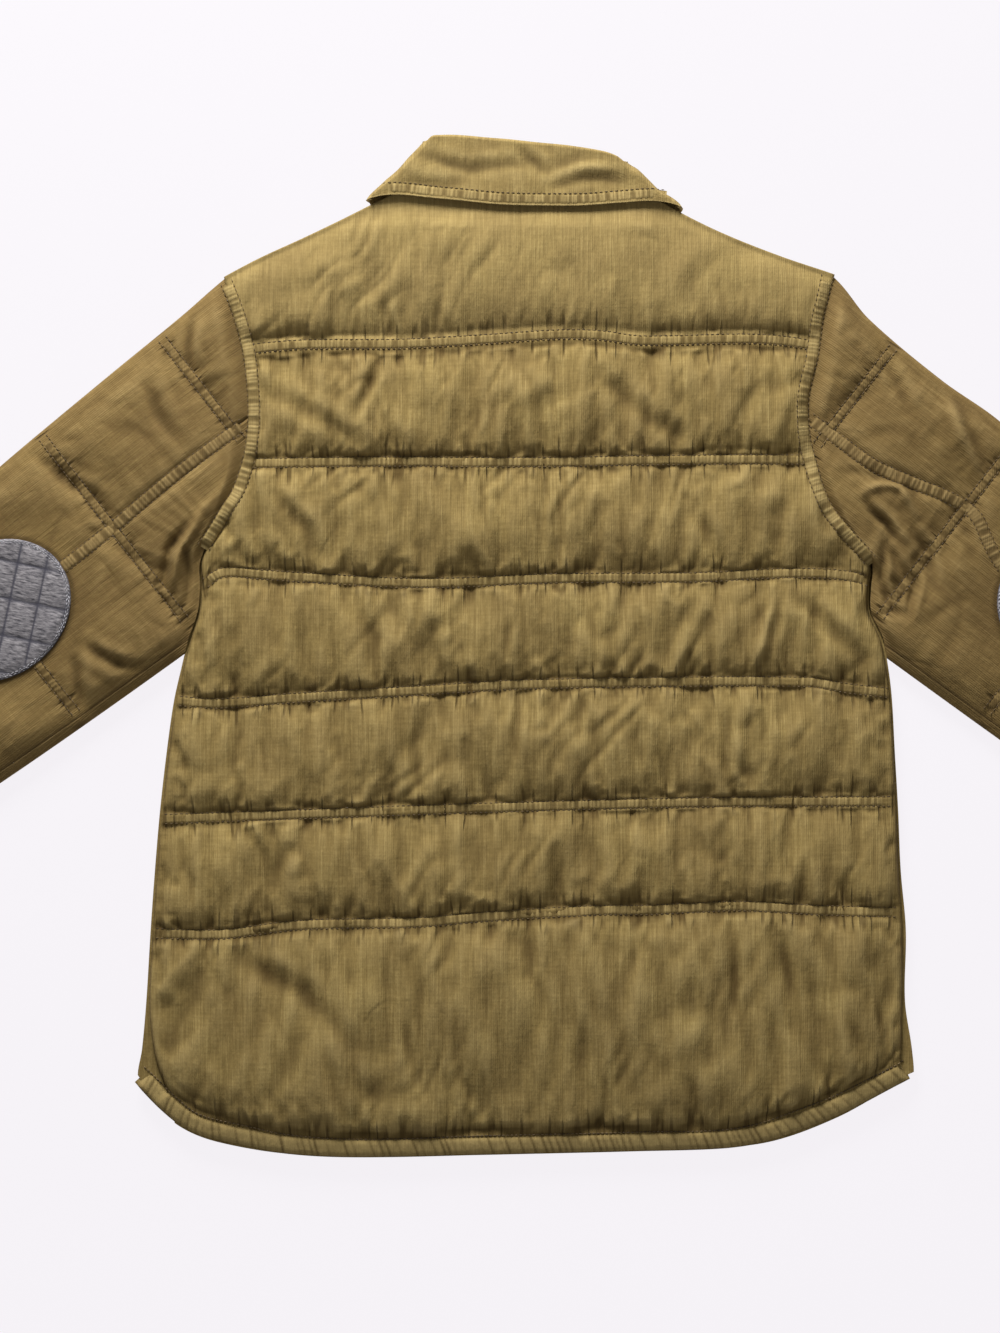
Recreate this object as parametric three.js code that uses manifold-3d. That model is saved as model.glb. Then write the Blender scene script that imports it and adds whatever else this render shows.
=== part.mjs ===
// A child's quilted needlecord shirt jacket, laid out face down with its back up.
// Millimetres. +X is the wearer's right, +Y runs from hem to collar, +Z is up from the surface.
// The tables measure across from the centre back line and up from the lowest point of the hem.
// At the end the whole jacket is moved so that its origin is the middle of its underside.
import * as THREE from "three";
import { mergeVertices } from "three/addons/utils/BufferGeometryUtils.js";
import Module from "manifold-3d";

// Layers, from the surface up
const seamGap = 0.3;
const frontLayer = 6;
const backInside = frontLayer + seamGap;
const stitchedWall = 2.8;
const backLoft = 6.4;
const edgeRoll = 16;

// Twin-stitched seams and hem of the back
const tuckWidth = 5.6;
const tuckRidge = 0.9;
const hemBand = 11;

// Armholes and sides of the back, and of the fronts where they show past it
const bodyOutline = [
  { y: 30, backLeft: -205, backRight: 211, frontLeft: -222, frontRight: 221 },
  { y: 45, backLeft: -212, backRight: 216, frontLeft: -226.5, frontRight: 225 },
  { y: 62, backLeft: -217, backRight: 217.5, frontLeft: -224, frontRight: 224 },
  { y: 90, backLeft: -219.5, backRight: 218, frontLeft: -221.5, frontRight: 220 },
  { y: 131, backLeft: -217.5, backRight: 218, frontLeft: -219, frontRight: 220.5 },
  { y: 166, backLeft: -215, backRight: 216, frontLeft: -216.5, frontRight: 217.5 },
  { y: 201, backLeft: -212, backRight: 214.5, frontLeft: -213.5, frontRight: 216 },
  { y: 236, backLeft: -208, backRight: 213, frontLeft: -209.5, frontRight: 214 },
  { y: 264, backLeft: -204, backRight: 211, frontLeft: -205.5, frontRight: 212.5 },
  { y: 282, backLeft: -200, backRight: 209, frontLeft: -201.5, frontRight: 210.5 },
  { y: 300, backLeft: -195.5, backRight: 205.5, frontLeft: -197, frontRight: 207 },
  { y: 316, backLeft: -190.5, backRight: 198.5, frontLeft: -191.5, frontRight: 199.5 },
  { y: 330, backLeft: -189, backRight: 198, frontLeft: -190, frontRight: 199 },
  { y: 345, backLeft: -189.5, backRight: 199, frontLeft: -190, frontRight: 199.5 },
  { y: 363, backLeft: -182, backRight: 187, frontLeft: -182.5, frontRight: 187.5 },
  { y: 378, backLeft: -175, backRight: 177, frontLeft: -175.5, frontRight: 177.5 },
  { y: 404, backLeft: -166, backRight: 167, frontLeft: -166.5, frontRight: 167.5 },
  { y: 430, backLeft: -163, backRight: 163, frontLeft: -163.5, frontRight: 163.5 },
  { y: 456, backLeft: -164.5, backRight: 167.5, frontLeft: -165, frontRight: 168 },
  { y: 485, backLeft: -171, backRight: 172.5, frontLeft: -171.5, frontRight: 173 },
  { y: 515, backLeft: -177, backRight: 179.5, frontLeft: -177.5, frontRight: 180 },
];

// Lower edge, a shirt tail that rises to the side seams
const hemLine = [
  { x: -228, y: 46 },
  { x: -219, y: 33 },
  { x: -202, y: 17 },
  { x: -178, y: 7.5 },
  { x: -132, y: 0.5 },
  { x: -60, y: 0 },
  { x: 20, y: 1.5 },
  { x: 112, y: 4.5 },
  { x: 145, y: 9 },
  { x: 181, y: 22.5 },
  { x: 212, y: 39.5 },
  { x: 226, y: 46 },
];

// Shoulders and back neck, the top edge of the yoke
const yokeTop = [
  { x: -178, y: 510 },
  { x: -155, y: 522 },
  { x: -131, y: 533 },
  { x: -108, y: 544 },
  { x: -84, y: 556 },
  { x: -60, y: 567 },
  { x: -44, y: 563 },
  { x: 0, y: 561 },
  { x: 44, y: 562 },
  { x: 60, y: 565 },
  { x: 84, y: 551 },
  { x: 112, y: 537 },
  { x: 147, y: 523 },
  { x: 180, y: 512 },
];

// Heights of the yoke seam and of the quilting tucks at the left side, middle and right side
const tuckReach = 215;
const tucks = [
  { left: 470, middle: 479, right: 474 },
  { left: 405, middle: 406, right: 408 },
  { left: 339, middle: 338, right: 339 },
  { left: 266, middle: 275, right: 277 },
  { left: 196, middle: 205, right: 205 },
  { left: 131, middle: 142, right: 144 },
];

// Largest soft folds of the back: centre, direction from +X, length, half width and depth
const backFolds = [
  { x: -88, y: 500, turn: -66, length: 62, width: 11, depth: 2.6 },
  { x: -28, y: 508, turn: 84, length: 50, width: 12, depth: 1.6 },
  { x: 62, y: 500, turn: 78, length: 44, width: 9, depth: 1.6 },
  { x: -95, y: 440, turn: 56, length: 58, width: 9, depth: 2.6 },
  { x: -12, y: 432, turn: 80, length: 44, width: 9, depth: 1.8 },
  { x: 76, y: 436, turn: -48, length: 56, width: 12, depth: 2.4 },
  { x: -118, y: 372, turn: 70, length: 44, width: 9, depth: 2.0 },
  { x: 104, y: 366, turn: 66, length: 50, width: 9, depth: 2.2 },
  { x: -92, y: 300, turn: 74, length: 50, width: 10, depth: 2.0 },
  { x: 96, y: 300, turn: 74, length: 56, width: 9, depth: 2.2 },
  { x: 164, y: 308, turn: -44, length: 60, width: 12, depth: 2.8 },
  { x: -62, y: 238, turn: 84, length: 48, width: 9, depth: 1.8 },
  { x: 120, y: 236, turn: 86, length: 50, width: 9, depth: 2.0 },
  { x: -130, y: 168, turn: 60, length: 44, width: 10, depth: 1.8 },
  { x: 34, y: 172, turn: 84, length: 46, width: 9, depth: 2.0 },
  { x: -158, y: 92, turn: 24, length: 74, width: 12, depth: 2.4 },
  { x: -72, y: 66, turn: 84, length: 70, width: 10, depth: 2.2 },
  { x: 2, y: 74, turn: -84, length: 74, width: 12, depth: 2.4 },
  { x: 120, y: 84, turn: 88, length: 78, width: 9, depth: 2.2 },
  { x: 148, y: 92, turn: 74, length: 80, width: 11, depth: 2.8 },
];

// Button stand down the middle of the fronts, and the buttons that close it
const standHalf = 14;
const standLap = 3;
const standLayer = frontLayer / 2;
const hemSetBack = 3;
const button = { radius: 7, thickness: 1.8, rim: 1.4, dish: 0.5, holeAt: 1.6, holeRadius: 0.7 };
const buttonCount = 6;
const buttonTop = 468;
const buttonPitch = 78;

// Front neck and collar on one side, from the shoulder to the centre front
const frontNeck = [
  { neckX: 60, neckY: 563, foldX: 50, foldY: 588, leafX: 90, leafY: 552 },
  { neckX: 56, neckY: 544, foldX: 47, foldY: 566, leafX: 84, leafY: 533 },
  { neckX: 49, neckY: 522, foldX: 39, foldY: 545, leafX: 75, leafY: 513 },
  { neckX: 38, neckY: 505, foldX: 28, foldY: 528, leafX: 65, leafY: 497 },
  { neckX: 22, neckY: 494, foldX: 15, foldY: 517, leafX: 56, leafY: 484 },
  { neckX: 0.15, neckY: 488, foldX: 1, foldY: 512, leafX: 46, leafY: 472 },
];
const leafReach = { side: 100, below: 462 };

// The flattened collar turns round these lines at either side of the neck
const leafRoll = { radius: 6.2, wall: 3 };
const standRoll = { radius: 2.8, wall: 2.6 };
const leafSides = {
  left: { top: { x: -55, y: 596 }, end: { x: -94, y: 557 } },
  right: { top: { x: 53, y: 586 }, end: { x: 91, y: 553.5 } },
};
const standSides = {
  left: { top: { x: -52, y: 588 }, end: { x: -60, y: 570 } },
  right: { top: { x: 50, y: 579 }, end: { x: 59, y: 568 } },
};
const leafBow = 4;

// Sleeves, flattened tubes: s runs down the arm and n across it from the shoulder edge
const sleeveDroop = 38;
const sleeveLength = 450;
const cuffDepth = 38;
const sleeveHeight = 11.4;
const sleeveSlit = 0.8;
const sleeveLoft = 5;
const armholeHeight = 9.4;
const armholeGap = 1;
const underarmGap = 4.4;
const fanEnd = 165;
const backArmSeam = 0.55;
const underarmSeam = 0.03;
const seamShare = 0.0015;
const sleeveTucks = [-30, 54, 144, 227, 310, 393, 412];
const sleeveFolds = [
  { s: 62, n: 40, turn: 78, length: 60, width: 9, depth: 2.4 },
  { s: 132, n: 108, turn: 58, length: 52, width: 9, depth: 3.0 },
  { s: 176, n: 112, turn: 40, length: 60, width: 10, depth: 2.6 },
  { s: 290, n: 60, turn: 66, length: 56, width: 10, depth: 2.4 },
  { s: 336, n: 96, turn: 112, length: 54, width: 9, depth: 2.2 },
  { s: 372, n: 62, turn: 72, length: 44, width: 8, depth: 2.0 },
];
const leftSleeve = {
  side: -1,
  shoulder: { x: -173.4, y: 513.3 },
  patchAt: 222,
  edges: [
    { s: -10, top: -1, bottom: 160 },
    { s: 37, top: 3, bottom: 160 },
    { s: 97, top: 4, bottom: 160 },
    { s: 173, top: 6.5, bottom: 158 },
    { s: 286, top: 13, bottom: 152 },
    { s: 360, top: 21, bottom: 145 },
    { s: 450, top: 32, bottom: 134 },
  ],
};
const rightSleeve = {
  side: 1,
  shoulder: { x: 178, y: 513.3 },
  patchAt: 228,
  edges: [
    { s: -10, top: -1, bottom: 160 },
    { s: 33, top: 8, bottom: 160 },
    { s: 88, top: 10, bottom: 160 },
    { s: 128, top: 8, bottom: 158.5 },
    { s: 286, top: 14, bottom: 152 },
    { s: 360, top: 21, bottom: 145 },
    { s: 450, top: 32, bottom: 134 },
  ],
};

// Elbow patch: an oval of padded cloth quilted in squares, on a flat place of the sleeve
const patch = {
  halfLength: 46,
  halfWidth: 38.5,
  across: 72,
  seat: 13,
  seatMargin: 1.45,
  wall: 1.6,
  loft: 1.5,
  square: 19,
  tilt: 9,
};

const { clamp, lerp, degToRad } = THREE.MathUtils;
const smooth = (t) => THREE.MathUtils.smoothstep(t, 0, 1);

// A smooth curve through the rows of a table, from one of its columns to another
function curve(rows, input, output) {
  const last = rows.length - 1;
  const slope = (i) => {
    const before = rows[Math.max(i - 1, 0)];
    const after = rows[Math.min(i + 1, last)];
    return (after[output] - before[output]) / (after[input] - before[input]);
  };
  return (wanted) => {
    const x = clamp(wanted, rows[0][input], rows[last][input]);
    let i = 0;
    while (i < last - 1 && x > rows[i + 1][input]) i += 1;
    const span = rows[i + 1][input] - rows[i][input];
    const t = (x - rows[i][input]) / span;
    const rise = t * t * (3 - 2 * t);
    const leaving = (t - 1) * (t - 1) * t * span * slope(i);
    const arriving = (t - 1) * t * t * span * slope(i + 1);
    return lerp(rows[i][output], rows[i + 1][output], rise) + leaving + arriving;
  };
}

// Straight lines through the rows of a table
function polyline(rows, input, output) {
  return (x) => {
    let i = 0;
    while (i < rows.length - 2 && x > rows[i + 1][input]) i += 1;
    const t = (x - rows[i][input]) / (rows[i + 1][input] - rows[i][input]);
    return lerp(rows[i][output], rows[i + 1][output], t);
  };
}

// Depth at a place of a table of soft troughs, each fading out at its ends
function troughs(folds, first, second, x, y) {
  let depth = 0;
  for (const fold of folds) {
    const angle = degToRad(fold.turn);
    const dx = x - fold[first];
    const dy = y - fold[second];
    const along = (dx * Math.cos(angle) + dy * Math.sin(angle)) / (fold.length / 2);
    const beside = (dy * Math.cos(angle) - dx * Math.sin(angle)) / fold.width;
    depth += fold.depth * Math.max(1 - along ** 2, 0) ** 1.5 * Math.exp(-(beside ** 2));
  }
  return depth;
}

// Padding between two stitched lines, and beside an edge that rolls under
const puff = (t) => 1 - Math.abs(2 * clamp(t, 0, 1) - 1) ** 2.6;
const rolled = (distance) => Math.sqrt(1 - clamp(1 - distance / edgeRoll, 0, 1) ** 2);

function thinned(count, step) {
  const kept = [];
  for (let i = 0; i < count; i += step) kept.push(i);
  return [...kept, count];
}

function signedVolume(points, triangles) {
  const corner = (i) => new THREE.Vector3().fromArray(points, 3 * triangles[i]);
  let volume = 0;
  for (let i = 0; i < triangles.length; i += 3) {
    volume += corner(i).dot(corner(i + 1).cross(corner(i + 2))) / 6;
  }
  return volume;
}

// A closed wall between a fine outer grid of points and a plainer inner one
function wall({ rows, columns, outer, inner, rowStep = 1, columnStep = 1 }) {
  const points = [];
  const triangles = [];
  const add = (p) => {
    points.push(p.x, p.y, p.z);
    return points.length / 3 - 1;
  };
  const grid = (shape, rowList, columnList) =>
    rowList.map((i) => columnList.map((j) => add(shape(i, j))));
  const faces = (corners, flipped) => {
    for (let i = 0; i + 1 < corners.length; i += 1) {
      for (let j = 0; j + 1 < corners[i].length; j += 1) {
        const [a, b] = [corners[i][j], corners[i][j + 1]];
        const [d, c] = [corners[i + 1][j], corners[i + 1][j + 1]];
        if (flipped) triangles.push(a, c, b, a, d, c);
        else triangles.push(a, b, c, a, c, d);
      }
    }
  };
  const rim = (fine, plain, kept) => {
    for (let k = 0; k + 1 < kept.length; k += 1) {
      const middle = Math.ceil((kept[k] + kept[k + 1]) / 2);
      for (let m = kept[k]; m < kept[k + 1]; m += 1) {
        triangles.push(fine[m + 1], fine[m], m < middle ? plain[k] : plain[k + 1]);
      }
      triangles.push(fine[middle], plain[k], plain[k + 1]);
    }
  };
  const keptRows = thinned(rows, rowStep);
  const keptColumns = thinned(columns, columnStep);
  const outside = grid(outer, thinned(rows, 1), thinned(columns, 1));
  const inside = grid(inner, keptRows, keptColumns);
  const side = (corners, j) => corners.map((row) => row.at(j));
  const backwards = (kept) => kept.map((i) => kept.at(-1) - i).reverse();
  faces(outside, false);
  faces(inside, true);
  rim(outside[0], inside[0], keptColumns);
  rim(outside.at(-1).toReversed(), inside.at(-1).toReversed(), backwards(keptColumns));
  rim(side(outside, 0).reverse(), side(inside, 0).reverse(), backwards(keptRows));
  rim(side(outside, -1), side(inside, -1), keptRows);
  const geometry = new THREE.BufferGeometry();
  geometry.setAttribute("position", new THREE.Float32BufferAttribute(points, 3));
  geometry.setIndex(signedVolume(points, triangles) < 0 ? triangles.reverse() : triangles);
  geometry.computeVertexNormals();
  return geometry;
}

const wasm = await Module();
wasm.setup();

function solidFrom(geometry) {
  const bare = geometry.clone();
  bare.deleteAttribute("normal");
  bare.deleteAttribute("uv");
  const merged = mergeVertices(bare, 1e-4);
  const vertProperties = merged.attributes.position.array;
  const triVerts = new Uint32Array(merged.index.array);
  return new wasm.Manifold(new wasm.Mesh({ numProp: 3, vertProperties, triVerts }));
}

function geometryFrom(solid) {
  const { vertProperties, triVerts } = solid.getMesh();
  const geometry = new THREE.BufferGeometry();
  geometry.setAttribute("position", new THREE.BufferAttribute(vertProperties, 3));
  geometry.setIndex(new THREE.BufferAttribute(triVerts, 1));
  geometry.computeVertexNormals();
  return geometry;
}

const bodyCord = new THREE.MeshStandardMaterial({ color: 0x84703f, roughness: 0.92, metalness: 0 });
const sleeveCord = new THREE.MeshStandardMaterial({ color: 0x7a6238, roughness: 0.92, metalness: 0 });
const greyMarl = new THREE.MeshStandardMaterial({ color: 0x85838d, roughness: 0.95, metalness: 0 });
const darkHorn = new THREE.MeshStandardMaterial({ color: 0x4a3826, roughness: 0.45, metalness: 0 });

const laidOut = new THREE.Group();
function addPiece(name, geometry, material) {
  const mesh = new THREE.Mesh(geometry, material);
  mesh.name = name;
  laidOut.add(mesh);
}

const backLeft = curve(bodyOutline, "y", "backLeft");
const backRight = curve(bodyOutline, "y", "backRight");
const frontLeft = curve(bodyOutline, "y", "frontLeft");
const frontRight = curve(bodyOutline, "y", "frontRight");
const hem = curve(hemLine, "x", "y");
const shoulders = curve(yokeTop, "x", "y");
const neckline = polyline(frontNeck.toReversed(), "neckX", "neckY");

// Height up the back of one tuck, level or bowed as it lies
function tuckLine(tuck, x) {
  const t = clamp(x / tuckReach, -1, 1);
  const tilt = (tuck.right - tuck.left) / 2;
  const bow = (tuck.right + tuck.left) / 2 - tuck.middle;
  return tuck.middle + tilt * t + bow * t ** 2;
}

// The place where a line that runs across the body meets a wanted x, which may depend on y
function meeting(line, wantedX) {
  let x = wantedX(line(0));
  for (let k = 0; k < 12; k += 1) x = wantedX(line(x));
  return { x, y: line(x) };
}

const acrossBack = (line, share) =>
  meeting(line, (y) => lerp(backLeft(y), backRight(y), share));

// Shares of the width, closer together toward both sides
const backColumns = 28;
const shareAt = (j) => j / backColumns - 0.045 * Math.sin((2 * Math.PI * j) / backColumns);

const insideEdge = ({ x, y }) => Math.min(x - backLeft(y), backRight(y) - x);

// Upper face of the quilted back between two stitched lines, with its soft folds
function quiltedHeight(at, lower, upper) {
  const lift = puff((at.y - lower) / (upper - lower)) * rolled(insideEdge(at));
  const depth = troughs(backFolds, "x", "y", at.x, at.y);
  return backInside + stitchedWall + Math.max(backLoft - depth, 0) * lift;
}

const ridgeHeight = (at, height) => backInside + stitchedWall + height * rolled(insideEdge(at));

// Back panel: from the yoke seam to the hem in one length, quilted by the tucks
const channelSteps = [0, 0.14, 0.5, 0.86, 1];
function backPanel() {
  const stitched = tucks.map((tuck) => (x) => tuckLine(tuck, x));
  const rows = [];
  stitched.forEach((tuck, k) => {
    const upper = (x) => tuck(x) - tuckWidth / 2;
    const below = stitched[k + 1];
    const lower = below ? (x) => below(x) + tuckWidth / 2 : (x) => hem(x) + hemBand;
    for (const step of channelSteps) {
      const line = (x) => lerp(upper(x), lower(x), step);
      rows.push({ line, height: (at) => quiltedHeight(at, lower(at.x), upper(at.x)) });
    }
    if (below) rows.push({ line: below, height: (at) => ridgeHeight(at, tuckRidge) });
  });
  rows.push({ line: (x) => hem(x) + hemBand / 2, height: (at) => ridgeHeight(at, tuckRidge) });
  rows.push({ line: hem, height: (at) => ridgeHeight(at, -tuckRidge) });
  const place = (i, j) => acrossBack(rows[i].line, shareAt(j));
  const outer = (i, j) => {
    const at = place(i, j);
    return { ...at, z: rows[i].height(at) };
  };
  const inner = (i, j) => ({ ...place(i, j), z: backInside });
  return wall({ rows: rows.length - 1, columns: backColumns, outer, inner, columnStep: 7 });
}

// How far a place on the yoke is clear of the collar that lies over it: 0 under it, 1 beyond it
function besideCollar({ x, y }) {
  const leafEdge = lerp(leafSides.left.end.y, leafSides.right.end.y, 0.5) - leafBow;
  const clear = Math.max(leafEdge - 9 - y, Math.abs(x) - 100);
  return smooth(clear / 22);
}

// Yoke: a twin-stitched band along its seam, then padding up to the shoulders and back neck
function yoke() {
  const seam = (x) => tuckLine(tucks[0], x) - tuckWidth / 2 + seamGap;
  const bandTop = (x) => seam(x) + tuckWidth;
  const rows = [0, 0.5, 1].map((step) => ({
    line: (x) => lerp(seam(x), bandTop(x), step),
    height: (at) => ridgeHeight(at, step === 0.5 ? tuckRidge : 0),
  }));
  for (const step of [0.12, 0.34, 0.58, 0.8, 1]) {
    const line = (x) => lerp(bandTop(x), shoulders(x), step);
    const height = (at) => {
      const quilted = quiltedHeight(at, bandTop(at.x), shoulders(at.x));
      return lerp(backInside + stitchedWall, quilted, besideCollar(at));
    };
    rows.push({ line, height });
  }
  const place = (i, j) => acrossBack(rows[i].line, shareAt(j));
  const outer = (i, j) => {
    const at = place(i, j);
    return { ...at, z: rows[i].height(at) };
  };
  const inner = (i, j) => ({ ...place(i, j), z: backInside });
  return wall({ rows: rows.length - 1, columns: backColumns, outer, inner, columnStep: 7 });
}

// Front: flat on the surface, over the collar leaf at the neck, rolled up a little at the side
const liftStart = leafReach.below - 16;
const sideRows = [0.1, 0.25, 0.5, 0.75];
const armholeRows = [330, 346, 362, 378, 395, 412, 430, liftStart];
const neckShares = [0, 0.5, 1];
const sideInsets = [8, 3, 0.8, 0];
function frontTop(x) {
  const out = Math.abs(x);
  if (out <= standHalf + seamGap) return neckline(0) - seamGap;
  return out < frontNeck[0].neckX ? neckline(out) : shoulders(x) - 6;
}

function front(side) {
  const outline = side < 0 ? frontLeft : frontRight;
  const lapped = side > 0;
  const standEdge = standHalf + seamGap;
  const innerPlaces = lapped ? [-standLap, standEdge, standEdge + seamGap] : [standEdge];
  const neckPlaces = frontNeck.map((row) => row.neckX).filter((x) => x > standEdge).reverse();
  const widths = [...innerPlaces, ...neckPlaces, leafReach.side, leafReach.side + 16];
  const columns = [
    ...widths.map((x) => () => (lapped ? x : -x)),
    ...sideInsets.map((inset) => (y) => outline(y) - side * inset),
  ];
  const base = (x) => hem(x) + hemSetBack;
  const rows = [
    base,
    ...sideRows.map((share) => (x) => lerp(base(x), armholeRows[0], share)),
    ...armholeRows.map((y) => () => y),
    ...neckShares.map((share) => (x) => lerp(leafReach.below, frontTop(x), share)),
  ];
  const place = (i, j) => meeting(rows[i], columns[j]);
  const under = (i, j) => {
    const at = place(i, j);
    const fromSide = clamp(Math.abs(outline(at.y) - at.x) / 10, 0, 1);
    const roll = 4.4 * (1 - Math.sqrt(1 - (1 - fromSide) ** 2));
    const overStand = lapped && at.x < standEdge + seamGap / 2 ? standLayer + seamGap : 0;
    const atNeck = at.y >= leafReach.below - 0.01 && Math.abs(at.x) <= leafReach.side + 0.01;
    return { ...at, z: Math.max(roll, overStand, atNeck ? leafRoll.wall + seamGap : 0) };
  };
  const over = (i, j) => ({ ...place(i, j), z: frontLayer });
  return wall({ rows: rows.length - 1, columns: columns.length - 1, outer: under, inner: over });
}

// Button stand: an L-shaped strip beside one front and over the lap of the other
const buttonPlaces = Array.from({ length: buttonCount }, (_, i) => buttonTop - i * buttonPitch);
function buttonStand() {
  const section = new THREE.Shape([
    new THREE.Vector2(-standHalf, 0),
    new THREE.Vector2(standHalf, 0),
    new THREE.Vector2(standHalf, standLayer),
    new THREE.Vector2(-standLap - seamGap, standLayer),
    new THREE.Vector2(-standLap - seamGap, frontLayer),
    new THREE.Vector2(-standHalf, frontLayer),
  ]);
  const bottom = hem(0) + hemSetBack;
  const top = neckline(0.15) - seamGap;
  const strip = new THREE.ExtrudeGeometry(section, { depth: top - bottom, bevelEnabled: false });
  strip.rotateX(Math.PI / 2).translate(0, top, 0);
  const recessDepth = button.thickness + seamGap;
  let solid = solidFrom(strip);
  for (const y of buttonPlaces) {
    const recess = new THREE.CylinderGeometry(
      button.radius + seamGap, button.radius + seamGap, 2 * recessDepth, 20);
    recess.rotateX(Math.PI / 2).translate(0, y, 0);
    solid = solid.subtract(solidFrom(recess));
  }
  return geometryFrom(solid);
}

// Button: a rim round a shallow dish with four holes, face down
function buttonDisc(y) {
  const { radius, thickness, rim, dish, holeAt, holeRadius } = button;
  const profile = [
    new THREE.Vector2(0, dish),
    new THREE.Vector2(radius - rim, dish),
    new THREE.Vector2(radius - rim / 2, 0),
    new THREE.Vector2(radius, rim / 3),
    new THREE.Vector2(radius, thickness),
    new THREE.Vector2(0, thickness),
  ];
  const disc = new THREE.LatheGeometry(profile, 16).rotateX(Math.PI / 2);
  let solid = solidFrom(disc);
  for (const [sideX, sideY] of [[1, 1], [1, -1], [-1, 1], [-1, -1]]) {
    const hole = new THREE.CylinderGeometry(holeRadius, holeRadius, 4 * thickness, 5);
    hole.rotateX(Math.PI / 2).translate(sideX * holeAt, sideY * holeAt, 0);
    solid = solid.subtract(solidFrom(hole));
  }
  return geometryFrom(solid).translate(0, y, 0);
}

// One loop of the collar, open at the centre front. Each station across it has a place in plan
// from the fold, 0, to the outer edge, 1, and an angle round the roll at the side of the neck.
const rollAngles = [-60, -30, 0, 30, 60];
const backShares = [0, 0.12, 0.3, 0.5, 0.7, 0.88, 1];
function collarLoop({ sides, roll, middleZ, backPlace, frontPlace, steps, foldDrop }) {
  const turning = (side) => {
    const { top, end } = side < 0 ? sides.left : sides.right;
    const along = new THREE.Vector2(end.x - top.x, end.y - top.y).normalize();
    const outward = new THREE.Vector2(-side * along.y, side * along.x);
    const axis = (t) => new THREE.Vector2(
      lerp(top.x, end.x, t) - outward.x * roll.radius,
      lerp(top.y, end.y, t) - outward.y * roll.radius);
    return { axis, outward };
  };
  const left = turning(-1);
  const right = turning(1);
  const flat = new THREE.Vector2(0, 0);
  const stations = [];
  const frontRows = thinned(frontNeck.length - 2, 1);
  for (const k of frontRows.toReversed()) {
    stations.push({ plan: (t) => frontPlace(-1, frontNeck[k + 1], t), outward: flat, angle: -90 });
  }
  for (const angle of rollAngles) {
    stations.push({ plan: left.axis, outward: left.outward, angle });
  }
  for (const share of backShares) {
    const plan = (t) => backPlace(left.axis(t), right.axis(t), share, t);
    stations.push({ plan, outward: flat, angle: 90 });
  }
  for (const angle of rollAngles.toReversed()) {
    stations.push({ plan: right.axis, outward: right.outward, angle });
  }
  for (const k of frontRows) {
    stations.push({ plan: (t) => frontPlace(1, frontNeck[k + 1], t), outward: flat, angle: -90 });
  }
  const point = (i, j, radius) => {
    const { plan, outward, angle } = stations[j];
    const { x, y } = plan(steps[i]);
    const reach = radius * Math.cos(degToRad(angle));
    const z = middleZ + radius * Math.sin(degToRad(angle));
    return { x: x + outward.x * reach, y: y + outward.y * reach, z };
  };
  const outer = (i, j) => {
    const at = point(i, j, roll.radius);
    const drop = i === 0 && stations[j].angle === 90 ? foldDrop : 0;
    return { ...at, z: at.z - drop };
  };
  const inner = (i, j) => point(i, j, roll.radius - roll.wall);
  return wall({ rows: steps.length - 1, columns: stations.length - 1, outer, inner });
}

function collarLeaf() {
  return collarLoop({
    sides: leafSides,
    roll: leafRoll,
    middleZ: leafRoll.radius,
    steps: [0, 0.1, 0.4, 0.75, 1],
    foldDrop: 1.2,
    backPlace: (left, right, share, t) => {
      const bow = leafBow * 4 * share * (1 - share) * t;
      return { x: lerp(left.x, right.x, share), y: lerp(left.y, right.y, share) - bow };
    },
    frontPlace: (side, row, t) => ({
      x: side * lerp(row.foldX, row.leafX, t),
      y: lerp(row.foldY, row.leafY, t),
    }),
  });
}

// The stand is hidden between the folded leaf and the neck seam
function collarStand() {
  const clear = 1;
  return collarLoop({
    sides: standSides,
    roll: standRoll,
    middleZ: leafRoll.wall + seamGap + standRoll.radius,
    steps: [0, 0.5, 1],
    foldDrop: 0,
    backPlace: (left, right, share, t) => {
      const x = lerp(left.x, right.x, share);
      const upper = lerp(left.y, right.y, share);
      const ends = 4 * share * (1 - share);
      return { x, y: lerp(upper, Math.max(shoulders(x) + clear, upper - 30), t * ends) };
    },
    frontPlace: (side, row, t) => ({
      x: side * Math.max(lerp(row.foldX - 1, row.neckX, t), seamGap / 2),
      y: lerp(row.foldY, row.neckY + seamGap, t),
    }),
  });
}

// Sleeve coordinates: where a place down and across the arm lies on the surface
function armPoint(sleeve, s, n, z) {
  const c = Math.cos(degToRad(sleeveDroop));
  const d = Math.sin(degToRad(sleeveDroop));
  const x = sleeve.shoulder.x + sleeve.side * (s * c - n * d);
  return { x, y: sleeve.shoulder.y - s * d - n * c, z };
}

// How far down the arm the armhole or the side of the body is, for a place across the arm
function sleeveStart(sleeve, n) {
  const c = Math.cos(degToRad(sleeveDroop));
  const d = Math.sin(degToRad(sleeveDroop));
  const outline = sleeve.side < 0 ? frontLeft : frontRight;
  const gap = armholeGap + underarmGap * smooth((n - 92) / 18);
  let s = n;
  for (let k = 0; k < 16; k += 1) {
    const { y } = armPoint(sleeve, s, n, 0);
    s = ((outline(y) - sleeve.shoulder.x) * sleeve.side + gap + n * d) / c;
  }
  return s;
}

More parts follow.
